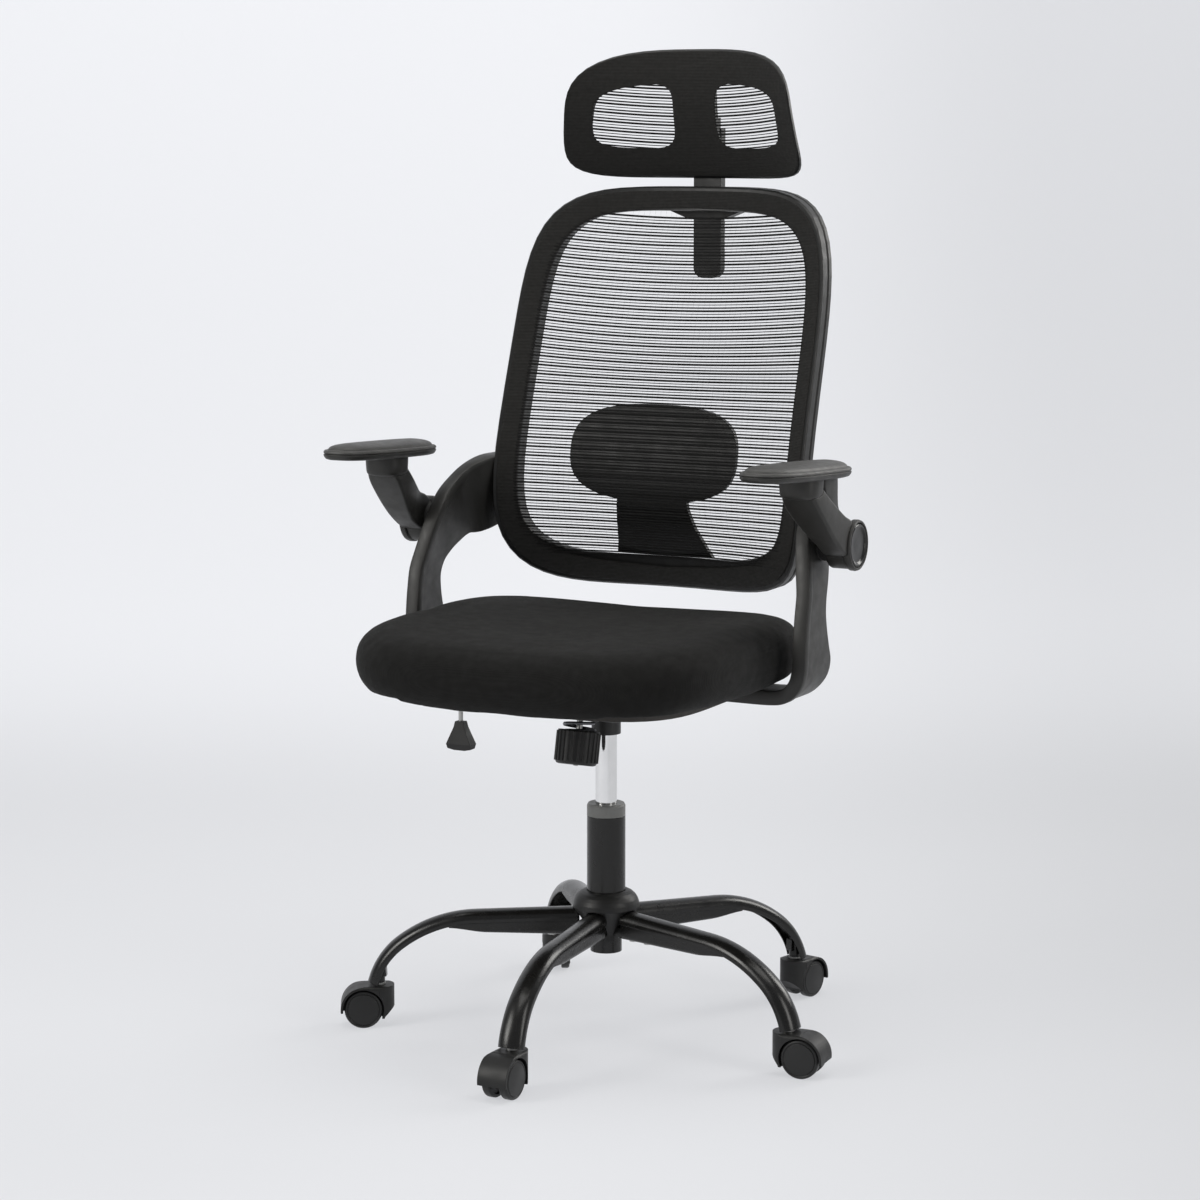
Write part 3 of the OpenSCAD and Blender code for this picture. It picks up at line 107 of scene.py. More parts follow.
def loft(rings, caps=True):
    """Points and faces of rings joined one to the next, with a face over each end ring if caps is true."""
    sides = len(rings[0])
    points = [p for ring in rings for p in ring]
    faces = []
    for r in range(len(rings) - 1):
        for i in range(sides):
            j = (i + 1) % sides
            faces.append((r * sides + i, r * sides + j, (r + 1) * sides + j, (r + 1) * sides + i))
    if caps:
        faces.append(tuple(range(sides - 1, -1, -1)))
        faces.append(tuple((len(rings) - 1) * sides + i for i in range(sides)))
    return points, faces


def join_shapes(shapes):
    """Points and faces of several lofts as one shape."""
    points, faces = [], []
    for p, f in shapes:
        base = len(points)
        points += p
        faces += [tuple(base + i for i in face) for face in f]
    return points, faces


def place(obj, body, material, replaces=()):
    """Gives a piece its finish, and makes it ride its body in place of the nodes it replaces."""
    obj.data.materials.clear()
    obj.data.materials.append(material)
    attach(obj, body)
    if replaces:
        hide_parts(*replaces)


# ---------------------------------------------------------------- materials
class Nodes:
    """Builds one material's nodes, so that each finish below reads as a short list."""

    def __init__(self, name, colour, rough, metallic=0.0, **sockets):
        self.material = bpy.data.materials.new(name)
        self.material.use_nodes = True
        self.tree = self.material.node_tree
        self.shader = self.tree.nodes["Principled BSDF"]
        self.shader.inputs["Base Color"].default_value = (*colour, 1)
        self.shader.inputs["Roughness"].default_value = rough
        self.shader.inputs["Metallic"].default_value = metallic
        for key, value in sockets.items():
            self.shader.inputs[key.replace("_", " ")].default_value = value
        self.colour = colour
        self.coords = self.tree.nodes.new("ShaderNodeTexCoord").outputs["Object"]
        self.normal = None

    def add(self, kind, inputs=(), **properties):
        node = self.tree.nodes.new(kind)
        for key, value in properties.items():
            setattr(node, key, value)
        for key, value in dict(inputs).items():
            if isinstance(value, bpy.types.NodeSocket):
                self.tree.links.new(value, node.inputs[key])
            else:
                node.inputs[key].default_value = value
        return node

    def scaled(self, scale):
        """Object coordinates times scale, which may differ along each axis."""
        if isinstance(scale, (int, float)):
            scale = (scale,) * 3
        return self.add("ShaderNodeMapping", {"Vector": self.coords, "Scale": scale}).outputs["Vector"]

    def noise(self, scale, detail=3.0, rough=0.5):
        """Noise whose features are about 1 / scale metres."""
        node = self.add("ShaderNodeTexNoise", {"Vector": self.scaled(scale), "Scale": 1.0,
                                               "Detail": detail, "Roughness": rough})
        return node.outputs["Fac"]

    def bands(self, axis, pitch, distortion=0.0):
        """Wave of the given pitch in metres across an axis."""
        node = self.add("ShaderNodeTexWave", {"Vector": self.scaled(1.0), "Scale": math.pi / (10 * pitch),
                                              "Distortion": distortion, "Detail": 0.0},
                        wave_type="BANDS", bands_direction=axis)
        return node.outputs["Fac"]

    def ranged(self, value, low, high, start=0.3, end=0.7):
        """Goes from low to high as value goes from start to end."""
        return self.add("ShaderNodeMapRange", {"Value": value, "From Min": start, "From Max": end,
                                               "To Min": low, "To Max": high}).outputs["Result"]

    def math(self, operation, a, b):
        return self.add("ShaderNodeMath", {0: a, 1: b}, operation=operation).outputs["Value"]

    def weigh(self, a, a_share, b, b_share):
        """a times its share plus b times its share."""
        return self.math("ADD", self.math("MULTIPLY", a, a_share), self.math("MULTIPLY", b, b_share))

    def vary_colour(self, factor, low, high, start=0.3, end=0.7):
        """Base colour times low to high, as factor goes from start to end."""
        ramp = self.add("ShaderNodeMix", {"Factor": self.ranged(factor, 0, 1, start, end)},
                        data_type="RGBA")
        ramp.inputs[6].default_value = (*[c * low for c in self.colour], 1)
        ramp.inputs[7].default_value = (*[min(c * high, 1) for c in self.colour], 1)
        self.tree.links.new(ramp.outputs[2], self.shader.inputs["Base Color"])

    def vary_rough(self, factor, low, high, start=0.3, end=0.7):
        self.tree.links.new(self.ranged(factor, low, high, start, end), self.shader.inputs["Roughness"])

    def bevel(self, radius):
        """Shades sharp edges as if they were rounded to a radius in metres."""
        node = self.add("ShaderNodeBevel", {"Radius": radius}, samples=4)
        self.normal = node.outputs["Normal"]

    def bump(self, height, distance, strength=1.0):
        inputs = {"Height": height, "Distance": distance, "Strength": strength}
        if self.normal is not None:
            inputs["Normal"] = self.normal
        self.normal = self.add("ShaderNodeBump", inputs).outputs["Normal"]

    def done(self):
        """Links the last normal to the shader and gives the finished material."""
        if self.normal is not None:
            self.tree.links.new(self.normal, self.shader.inputs["Normal"])
        return self.material


def moulded_plastic(name, colour, rough, grain=0.00006):
    """Plastic with a fine moulded grain, its height in metres."""
    m = Nodes(name, colour, rough, Specular_IOR_Level=0.35)
    m.bevel(0.0012)
    m.bump(m.noise(1400, 2.0), grain)
    m.vary_colour(m.noise(9, 4.0), 0.85, 1.18)
    m.vary_rough(m.noise(60, 4.0), rough - 0.07, rough + 0.07)
    return m.done()


def gloss_paint(name, colour, rough):
    """Baked paint on steel, with a faint unevenness."""
    m = Nodes(name, colour, rough, Specular_IOR_Level=0.4)
    m.bevel(0.0012)
    m.bump(m.noise(260, 2.0), 0.00005)
    m.vary_colour(m.noise(12, 3.0), 0.85, 1.2)
    m.vary_rough(m.noise(40, 5.0), rough - 0.05, rough + 0.08)
    return m.done()


def metal(name, colour, rough, lines=(900, 900, 60), edge=0.0006, line_height=0.00001):
    """Bare metal with fine tool lines, closest across the axes where lines is highest."""
    m = Nodes(name, colour, rough, metallic=1.0)
    m.bevel(edge)
    m.bump(m.noise(lines, 2.0), line_height)
    m.vary_colour(m.noise(30, 4.0), 0.93, 1.04)
    m.vary_rough(m.noise(lines, 3.0), max(rough - 0.03, 0.02), rough + 0.05)
    return m.done()


def rubbery(name, colour, rough):
    """Soft moulded rubber with a matt skin."""
    m = Nodes(name, colour, rough, Specular_IOR_Level=0.4)
    m.bump(m.noise(1100, 3.0), 0.00008)
    m.vary_colour(m.noise(40, 5.0), 0.8, 1.2)
    m.vary_rough(m.noise(90, 4.0), rough - 0.06, rough + 0.06)
    return m.done()


def mesh_cloth(name, colour):
    """Knitted mesh: fine ribs across, and fainter wales up it."""
    m = Nodes(name, colour, 0.8, Specular_IOR_Level=0.2, Sheen_Weight=0.03, Sheen_Roughness=0.5)
    ribs = m.bands("Z", 0.0019, 0.4)
    wales = m.bands("X", 0.0013, 0.6)
    m.bump(m.weigh(ribs, 0.8, wales, 0.35), 0.00045)
    m.vary_colour(m.weigh(ribs, 0.6, m.noise((40, 40, 300), 3.0), 0.5), 0.75, 1.35, 0.2, 0.95)
    m.vary_rough(m.noise(200, 3.0), 0.7, 0.88)
    return m.done()


def seat_cloth(name, colour):
    """Tight plain weave over foam."""
    m = Nodes(name, colour, 0.85, Specular_IOR_Level=0.15, Sheen_Weight=0.03, Sheen_Roughness=0.45)
    across = m.bands("X", 0.0011, 0.5)
    along = m.bands("Y", 0.0011, 0.5)
    weave = m.weigh(across, 0.5, along, 0.5)
    m.bump(weave, 0.00022)
    m.bump(m.noise(45, 4.0), 0.0006)
    m.vary_colour(m.weigh(weave, 0.5, m.noise(120, 5.0), 0.5), 0.78, 1.25, 0.25, 0.75)
    m.vary_rough(m.noise(70, 4.0), 0.78, 0.92)
    return m.done()


def plywood(name, colour):
    """The seat's board, stained dark, with its plies showing in its edge."""
    m = Nodes(name, colour, 0.6)
    plies = m.bands("Z", 0.0016, 0.4)
    grain = m.noise((12, 160, 300), 5.0)
    m.vary_colour(m.weigh(plies, 0.4, grain, 0.6), 0.7, 1.25)
    m.bump(grain, 0.0002)
    m.vary_rough(grain, 0.5, 0.7)
    return m.done()


FINISHES = {
    "black_steel": gloss_paint("black_steel", (0.006, 0.0058, 0.0053), 0.24),
    "pressed_steel": gloss_paint("pressed_steel", (0.012, 0.012, 0.0115), 0.42),
    "zinc_steel": metal("zinc_steel", (0.42, 0.42, 0.41), 0.36),
    "ground_steel": metal("ground_steel", (0.55, 0.55, 0.56), 0.2),
    "spring_steel": metal("spring_steel", (0.16, 0.16, 0.17), 0.35),
    "chrome": metal("chrome", (0.83, 0.83, 0.83), 0.07, (40, 40, 1500), 0.0004, 0.000004),
    "seal_rubber": rubbery("seal_rubber", (0.02, 0.02, 0.02), 0.65),
    "bush_plastic": moulded_plastic("bush_plastic", (0.13, 0.131, 0.126), 0.42),
    "black_plastic": moulded_plastic("black_plastic", (0.009, 0.009, 0.0087), 0.46),
    "grey_plastic": moulded_plastic("grey_plastic", (0.02, 0.0195, 0.018), 0.45),
    "gloss_plastic": moulded_plastic("gloss_plastic", (0.01, 0.01, 0.0095), 0.2, 0.00001),
    "wheel_nylon": moulded_plastic("wheel_nylon", (0.012, 0.012, 0.0118), 0.4),
    "plywood": plywood("plywood", (0.03, 0.026, 0.022)),
    "seat_cloth": seat_cloth("seat_cloth", (0.006, 0.0059, 0.0055)),
    "thread": mesh_cloth("thread_cloth", (0.004, 0.0039, 0.0037)),
    "mesh_cloth": mesh_cloth("mesh_cloth", (0.0125, 0.0121, 0.0112)),
    "arm_rubber": rubbery("arm_rubber", (0.044, 0.0435, 0.0415), 0.52),
}
SLOT_OF = {s["node"]: s["material_slot"] for s in frame["record"]["subparts"]}
for node_name, node in NODES.items():
    node.data.materials.clear()
    node.data.materials.append(FINISHES[SLOT_OF[node_name]])


# ---------------------------------------------------------------- back: the frame's own curves
FRAME_A = 222.5  # half its width
FRAME_B = 264.5  # half its height
FRAME_MID = box_mm("back_frame")[0].z + FRAME_B
FRAME_TAPER = 0.017  # it is narrower at its top than at its foot
FRAME_TOP_POWER = 4.7
FRAME_LOW_POWER = 5.0
RAIL_W = 28
RAIL_TOP_EXTRA = 4
RAIL_LOW_EXTRA = 16
WRAP_R = 446
THREADS_FOOT = 42  # where the threads start and end, from the frame's foot and from its top
THREADS_TOP = 30
THREAD_PITCH = 3.97
THREADS = ((2.7, 0.9), (2.0, 0.7), (1.2, 0.5))  # width and thickness of three neighbours, over and over
THREAD_LIFT = 0.7
THREAD_TUCK = 25  # the threads run on behind the band to this far from the frame's edge
THREAD_LEAST = 20
BACK_SAG = 9
YARN_PITCH = 7.8
YARN_R = 0.06
# inset from the frame's edge and lift off its face, from a rolled outer edge to the opening
BAND_PROFILE = ((5.2, -0.2), (5.4, 0.7), (6.2, 1.2), (8.0, 1.35), (13.0, 1.3), (19.0, 1.3), (25.0, 1.3),
                (27.6, 1.1), (28.4, 0.2), (28.6, -1.6))


def frame_power(v):
    """Squareness of the frame's outline at v of -1 at its foot to 1 at its top."""
    return FRAME_TOP_POWER if v > 0 else FRAME_LOW_POWER


def rail_at(v):
    """Width of the frame's rail, which grows towards its top and its foot."""
    return RAIL_W + RAIL_TOP_EXTRA * smooth((v - 0.7) / 0.3) + RAIL_LOW_EXTRA * smooth((-v - 0.6) / 0.4)


def spine_y(v):
    """Y of the back's face on its middle line: it bulges forwards at the sitter's waist."""
    return 198.4 + v * (87.5 + v * (10.3 + v * (-50.2 + v * 21.6)))


def wrap_y(x, r=WRAP_R):
    """How far the face comes forwards at x, as it bends round the sitter at radius r."""
    return r - math.sqrt(r * r - x * x)


def half_width(z, inset):
    """Half the width of the frame's outline at height z, drawn in by inset."""
    a, b = FRAME_A - inset, FRAME_B - inset
    v = (z - FRAME_MID) / b
    p = frame_power(v)
    return a * max(0.0, 1 - min(abs(v), 1.0) ** p) ** (1 / p) * (1 - FRAME_TAPER * v)


def mesh_y(x, z):
    """The stretched mesh: on the rails it lies on the frame, and between them it spans straight."""
    v = (z - FRAME_MID) / (FRAME_B - RAIL_W)
    straight = max(0.0, 1 - abs(v) ** 3)
    rail_x = half_width(z, RAIL_W)
    spine = spine_y((z - FRAME_MID) / FRAME_B)
    if abs(x) > rail_x:
        return spine - wrap_y(x)
    return spine - mix(wrap_y(x), wrap_y(rail_x), straight)


def ribbon(points, width, thick):
    """A flat thread with an oval section along points."""
    rings = []
    for i, p in enumerate(points):
        along = Vector(points[min(i + 1, len(points) - 1)]) - Vector(points[max(i - 1, 0)])
        out = along.cross(Vector((0, 0, 1))).normalized()
        rise = out.cross(along).normalized()
        rings.append([tuple(Vector(p) + rise * (width / 2 * math.cos(t)) + out * (thick / 2 * math.sin(t)))
                      for t in (TAU * k / 6 for k in range(6))])
    return loft(rings, caps=False)


def back_outline(t, inset):
    """Point t round the frame's outline, drawn in by inset below its outer edge: (x, z)."""
    top = (t % 1.0) < 0.5
    x, z = super_point(FRAME_A, FRAME_B, FRAME_TOP_POWER if top else FRAME_LOW_POWER, t)
    v = z / FRAME_B
    rail = rail_at(v)
    inner_x, inner_z = x * (FRAME_A - RAIL_W) / FRAME_A, z * (FRAME_B - rail) / FRAME_B
    share = inset / mix(rail, RAIL_W, abs(x) / FRAME_A)
    return mix(x, inner_x, share) * (1 - FRAME_TAPER * v), mix(z, inner_z, share) + FRAME_MID


def back_band():
    """The cloth that covers the rails."""
    steps = 160
    rings = []
    for inset, lift in BAND_PROFILE:
        ring = []
        for i in range(steps):
            x, z = back_outline(i / steps, inset)
            ring.append((x, spine_y((z - FRAME_MID) / FRAME_B) - wrap_y(x) - lift, z))
        rings.append(ring)
    return loft(rings, caps=False)


def back_threads():
    """The level threads of the opening, which sag more towards its top."""
    low, high = FRAME_MID - FRAME_B + THREADS_FOOT, FRAME_MID + FRAME_B - THREADS_TOP
    shapes = []
    for k in range(int((high - low) / THREAD_PITCH)):
        level = low + THREAD_PITCH * (k + 0.5)
        inner = half_width(level, RAIL_W - 1)
        if inner < THREAD_LEAST:
            continue
        reach = max(half_width(level, 0) - THREAD_TUCK, inner)
        sag = BACK_SAG * smooth(((level - FRAME_MID) / FRAME_B + 0.15) / 0.5)
        path = []
        for j in range(33):
            x = mix(-reach, reach, j / 32)
            z = level - sag * (1 - (x / reach) ** 2)
            path.append((x, mesh_y(x, z) - THREAD_LIFT, z))
        shapes.append(ribbon(path, *THREADS[k % 3]))
    return shapes


def darken_threads(obj, first):
    """Gives the faces from the first thread's on the threads' own darker yarn."""
    obj.data.materials.append(FINISHES["thread"])
    for face in obj.data.polygons[first:]:
        face.material_index = 1


def back_mesh():
    """The back's stretched mesh: a covered rim and separate threads across its opening."""
    band = back_band()
    points, faces = join_shapes([band] + back_threads())
    obj = new_mesh("back_mesh_cloth", points, faces)
    place(obj, "seat", FINISHES["mesh_cloth"], ["back_mesh"])
    darken_threads(obj, len(band[1]))


def back_yarns():
    """The thin yarns that tie the threads together, up the opening."""
    shapes = []
    triangle = ((1, 0), (-0.5, 0.87), (-0.5, -0.87))
    count = int((FRAME_A - RAIL_W) / YARN_PITCH)
    for k in range(-count, count + 1):
        x0 = k * YARN_PITCH + 0.7
        levels = [z for z in np.linspace(FRAME_MID - FRAME_B + 20, FRAME_MID + FRAME_B - 16, 45)
                  if half_width(z, RAIL_W - 2) > abs(x0)]
        if len(levels) < 4:
            continue
        rings = []
        for z in levels:
            x = x0 * (1 - FRAME_TAPER * (z - FRAME_MID) / FRAME_B)
            y = mesh_y(x0, z) - THREAD_LIFT
            rings.append([(x + YARN_R * c, y + YARN_R * s, z) for c, s in triangle])
        shapes.append(loft(rings))
    points, faces = join_shapes(shapes)
    place(new_mesh("back_mesh_yarns", points, faces), "seat", FINISHES["mesh_cloth"])


back_mesh()
back_yarns()

# ---------------------------------------------------------------- headrest
HEAD_W = 328
HEAD_H = 170
HEAD_MID = box_mm("headrest_frame")[0].z + HEAD_H / 2
HEAD_WRAP_R = 242
HEAD_BAND = 38  # cloth above and below the windows
HEAD_SIDE = 30
HEAD_PILLAR = 56  # cloth between the windows
HEAD_TAPER = 0.067
HEAD_TOP_POWER = 3.2
HEAD_LOW_POWER = 6.4
HEAD_SAG = 8
WINDOW_POWER = 4.6
WINDOW_TOP_GAP = 6
CLOTH_LIFT = 1.3
CLOTH_STEP = 7


def head_face(x, v):
    """Y of the headrest's face at x, and at v of -1 at its foot to 1 at its top."""
    return 265 - 17 * v + 18 * v * v - wrap_y(x, HEAD_WRAP_R) * (1 + 0.065 * v)


def head_surface(x, z, lift):
    """The point lift mm off the headrest's face, at (x, z) from its middle."""
    return x, head_face(x, z / (HEAD_H / 2)) - lift, z + HEAD_MID


def head_point(t):
    """Point t round the headrest's edge, as (x, v)."""
    top = (t % 1.0) < 0.5
    x, v = super_point(1, 1, HEAD_TOP_POWER if top else HEAD_LOW_POWER, t)
    return x * HEAD_W / 2 * (1 - HEAD_TAPER * v), v


def head_outline(t, s):
    """Point t round the headrest, at s of 0 on its edge to 1 on the inner edge of its band: (x, v)."""
    x, v = head_point(t)
    return x * (1 - s * 2 * HEAD_BAND / HEAD_W), v * (1 - s * HEAD_BAND / (HEAD_H / 2))


def inside(p, loop, scale=1.0):
    """Whether p is in the loop after the loop is scaled about its middle."""
    cx = sum(q[0] for q in loop) / len(loop)
    cy = sum(q[1] for q in loop) / len(loop)
    x, y = cx + (p[0] - cx) / scale, cy + (p[1] - cy) / scale
    hit = False
    for i in range(len(loop)):
        (x0, y0), (x1, y1) = loop[i - 1], loop[i]
        if (y0 > y) != (y1 > y) and x < x0 + (y - y0) * (x1 - x0) / (y1 - y0):
            hit = not hit
    return hit


def head_cloth(outline, holes):
    """The headrest's cloth inside its outline and round its holes, all given as (x, z) from its middle."""
    loops = [outline] + holes
    flat = [Vector(p) for loop in loops for p in loop]
    edges, base = [], 0
    for loop in loops:
        edges += [(base + i, base + (i + 1) % len(loop)) for i in range(len(loop))]
        base += len(loop)
    reach = [int(max(abs(p[k]) for p in outline) / CLOTH_STEP) for k in (0, 1)]
    for i in range(-reach[0], reach[0] + 1):
        for j in range(-reach[1], reach[1] + 1):
            p = Vector((i * CLOTH_STEP, j * CLOTH_STEP))
            if inside(p, outline, 0.96) and not any(inside(p, hole, 1.06) for hole in holes):
                flat.append(p)
    points, _, triangles, *_ = delaunay_2d_cdt(flat, edges, [], 0, 1e-4)
    faces = []
    for face in triangles:
        middle = sum((points[i] for i in face), Vector((0, 0))) / len(face)
        if inside(middle, outline) and not any(inside(middle, hole) for hole in holes):
            faces.append(tuple(face))
    return [head_surface(p.x, p.y, CLOTH_LIFT) for p in points], faces


def head_window(side):
    """One of the two openings in the headrest's cloth, as (x, z) from the headrest's middle."""
    n = 48
    half_h = HEAD_H / 2 - HEAD_BAND - 1
    loop = []
    for i in range(n):
        x, v = super_point(1, 1, WINDOW_POWER, i / n)
        power = HEAD_TOP_POWER if v > 0 else HEAD_LOW_POWER
        reach = (HEAD_W / 2 - HEAD_SIDE - 1) * (1 - HEAD_TAPER * v * 0.55)
        limit = reach * max(0.0, 1 - abs(v) ** power * 0.98) ** (1 / power)
        high = half_h - WINDOW_TOP_GAP if v > 0 else half_h
        loop.append((side * min(mix(HEAD_PILLAR / 2 + 2, reach, (x + 1) / 2), limit), v * high))
    return loop


def rolled_edge(loop, outwards):
    """The narrow turn of cloth from its face back to the frame, along a loop."""
    cx = sum(p[0] for p in loop) / len(loop)
    cz = sum(p[1] for p in loop) / len(loop)
    rings = []
    for out, lift in ((0, CLOTH_LIFT), (0.5, 1.1), (0.9, 0.5), (0.9, -0.4)):
        scale = 1 + outwards * out / 60  # a loop reaches about 60 mm from its middle
        rings.append([head_surface(cx + (x - cx) * scale, cz + (z - cz) * scale, lift) for x, z in loop])
    return loft(rings, caps=False)


def window_thread(window, level):
    """The points of a sagging thread that lie in a window, with a little left over at each end."""
    reach = HEAD_W / 2 - HEAD_SIDE
    side = 1 if window[0][0] > 0 else -1
    path = []
    for i in range(57):
        x = side * mix(HEAD_PILLAR / 2 - 2, reach + 2, i / 56)
        z = level - HEAD_SAG * (1 - (x / reach) ** 2)
        if inside((x, z), window, 1.04):
            path.append(head_surface(x, z, 0.5))
    return path[::2] + path[-1:]


def head_mesh():
    """The headrest's stretched cloth, with threads across its two windows."""
    steps = 128
    edge = [head_outline(i / steps, 0.1) for i in range(steps)]
    outline = [(x, v * HEAD_H / 2) for x, v in edge]
    windows = [head_window(-1), head_window(1)]
    shapes = [head_cloth(outline, windows), rolled_edge(outline, 1)]
    shapes += [rolled_edge(window, -1) for window in windows]
    for window in windows:
        low, high = min(p[1] for p in window), max(p[1] for p in window) + HEAD_SAG
        for k in range(int((high - low) / THREAD_PITCH) + 1):
            path = window_thread(window, low + (k + 0.7) * THREAD_PITCH)
            if len(path) > 3:
                shapes.append(ribbon(path, *THREADS[k % 3]))
    points, faces = join_shapes(shapes)
    obj = new_mesh("headrest_mesh_cloth", points, faces)
    place(obj, "headrest", FINISHES["mesh_cloth"], ["headrest_mesh"])
    darken_threads(obj, sum(len(faces) for _, faces in shapes[:4]))


head_mesh()

# ---------------------------------------------------------------- seat cushion
cushion_low, cushion_high = box_mm("seat_cushion")
BOARD_TOP = box_mm("seat_board")[1].z
BOARD_SHARE = 0.43  # the flat underside reaches this share of the width and length from its middle
SEAT_W = cushion_high.x - cushion_low.x
SEAT_L = cushion_high.y - cushion_low.y
SEAT_Y = (cushion_high.y + cushion_low.y) / 2
CUSHION_H = 82
FRONT_DROP = 9
REAR_POWER = 4.6
FRONT_POWER = 3.55
SIDE_RISE = 10
FRONT_FALL = 4
REAR_FALL = 3
PUFF_SMOOTHING = 40
PUFF_FRAMES = 20
# front scale, rear scale and level, from the middle of the underside (level -1) to the middle of the top
CUSHION_PROFILE = (
    (0.02, 0.02, -1), (0.5, 0.5, -1), (0.8, 0.8, -1), (0.84, 0.88, -1), (0.88, 0.93, 0),
    (0.91, 0.955, 0.03), (0.938, 0.972, 0.07), (0.963, 0.985, 0.14), (0.982, 0.994, 0.24),
    (0.995, 0.999, 0.36), (1, 1, 0.48), (0.998, 0.998, 0.6), (0.992, 0.994, 0.7), (0.98, 0.985, 0.79),
    (0.96, 0.97, 0.87), (0.935, 0.95, 0.925), (0.9, 0.92, 0.96), (0.85, 0.87, 0.98), (0.78, 0.8, 0.99),
    (0.6, 0.6, 0.99), (0.3, 0.3, 0.96), (0.01, 0.01, 0.95))


def cushion_point(t, front_scale, rear_scale, level, base, shrink):
    """Point t round the cushion, drawn in by shrink to leave room for its puffing."""
    power = REAR_POWER if (t % 1.0) <= 0.5 else FRONT_POWER
    a, b = SEAT_W / 2 - shrink, SEAT_L / 2 - shrink
    scale = mix(front_scale, rear_scale, smooth(super_point(1, 1, power, t)[1] / 0.6 + 0.9))
    x, y = super_point(a * scale, b * scale, power, t)
    u, v = x / (SEAT_W / 2), y / (SEAT_L / 2)
    drop = FRONT_DROP * smooth((-v / scale - 0.55) / 0.4) if scale > 0.88 else 0
    low = base - drop
    dip = SIDE_RISE * u * u - FRONT_FALL * smooth((-v - 0.35) / 0.65) - REAR_FALL * max(v, 0)
    high = base + CUSHION_H - 10 + dip - shrink
    return x, SEAT_Y + y, base if level < 0 else mix(low, high, level)


def seat_cushion():
    """The padded seat: a crowned pad that droops at its front edge."""
    n = 96
    base = BOARD_TOP + 0.4
    shrink = 4
    points, faces = loft([[cushion_point(i / n, front, rear, level, base, shrink) for i in range(n)]
                          for front, rear, level in CUSHION_PROFILE])
    obj = new_mesh("seat_cushion_cover", points, faces, 60)
    puff(obj, voxel=0.006, pressure=4.0, cap=0.006)
    rest_on_board(obj, base * MM)
    subdivision = obj.modifiers.new("subdivision", "SUBSURF")
    subdivision.levels = subdivision.render_levels = 1
    place(obj, "seat", FINISHES["seat_cloth"], ["seat_cushion"])


def rest_on_board(obj, floor_z):
    """Flattens the underside where it lies on the board."""
    reach_x, reach_y = SEAT_W * BOARD_SHARE * MM, SEAT_L * BOARD_SHARE * MM
    for vert in obj.data.vertices:
        if vert.co.z < floor_z and abs(vert.co.x) < reach_x and abs(vert.co.y - SEAT_Y * MM) < reach_y:
            vert.co.z = floor_z


def puff(obj, voxel, pressure, cap):
    """Inflates a closed mesh as cloth. No point moves by more than cap metres, and puckers are smoothed."""
    scene = bpy.context.scene
    bpy.context.view_layer.objects.active = obj
    remesh = obj.modifiers.new("remesh", "REMESH")
    remesh.mode = "VOXEL"
    remesh.voxel_size = voxel
    bpy.ops.object.modifier_apply(modifier="remesh")
    rest = np.array([v.co for v in obj.data.vertices], float)
    cloth = obj.modifiers.new("cloth", "CLOTH")
    cloth.settings.quality = 5
    cloth.settings.mass = 0.3
    cloth.settings.tension_stiffness = 15
    cloth.settings.compression_stiffness = 15
    cloth.settings.bending_stiffness = 0.6
    cloth.settings.use_pressure = True
    cloth.settings.uniform_pressure_force = pressure
    cloth.settings.effector_weights.gravity = 0
    cloth.point_cache.frame_start = 1
    cloth.point_cache.frame_end = PUFF_FRAMES
    for f in range(1, PUFF_FRAMES + 1):
        scene.frame_set(f)
    graph = bpy.context.evaluated_depsgraph_get()
    done = obj.evaluated_get(graph).to_mesh()
    moved = np.array([v.co for v in done.vertices], float)
    obj.evaluated_get(graph).to_mesh_clear()
    obj.modifiers.remove(cloth)
    step = moved - rest
    ends = np.array([e.vertices for e in obj.data.edges])
    count = np.bincount(ends.ravel(), minlength=len(step))[:, None]
    for _ in range(PUFF_SMOOTHING):
        total = np.zeros_like(step)
        np.add.at(total, ends[:, 0], step[ends[:, 1]])
        np.add.at(total, ends[:, 1], step[ends[:, 0]])
        step = (step + total / count) / 2
    length = np.linalg.norm(step, axis=1, keepdims=True)
    step *= cap * np.tanh(length / cap) / np.maximum(length, 1e-9)
    for vert, p in zip(obj.data.vertices, rest + step):
        vert.co = p
    scene.frame_set(1)
    obj.data.shade_smooth()


seat_cushion()

# ---------------------------------------------------------------- legs
LEG_FIRST = -158.3  # degrees from +X to the first leg
LEG_W_HUB = 31
LEG_W_END = 34
LEG_D = 16
LEG_ARCH = 12
LEG_T = 2
LEG_LIP = 0.8
# slopes of the leg's top line: at the hub, between its bends, at LEG_END_R and at its tip
LEG_FALL, LEG_MID, LEG_END, LEG_TIP = (math.radians(a) for a in (3, 38, 70, 75.5))
LEG_BEND_R = 185
LEG_KNEE_R = 110
LEG_ROOT_R = 36
LEG_END_R = 310.5
LEG_END_Z = box_mm("stem_sockets")[0].z + 12


def leg_arc(r, start, end):
    """Points along a downward bend of radius r between two slopes: (out, down, slope)."""
    return [(r * (math.sin(a) - math.sin(start)), r * (math.cos(start) - math.cos(a)), a)
            for a in (mix(start, end, i / 16) for i in range(1, 17))]


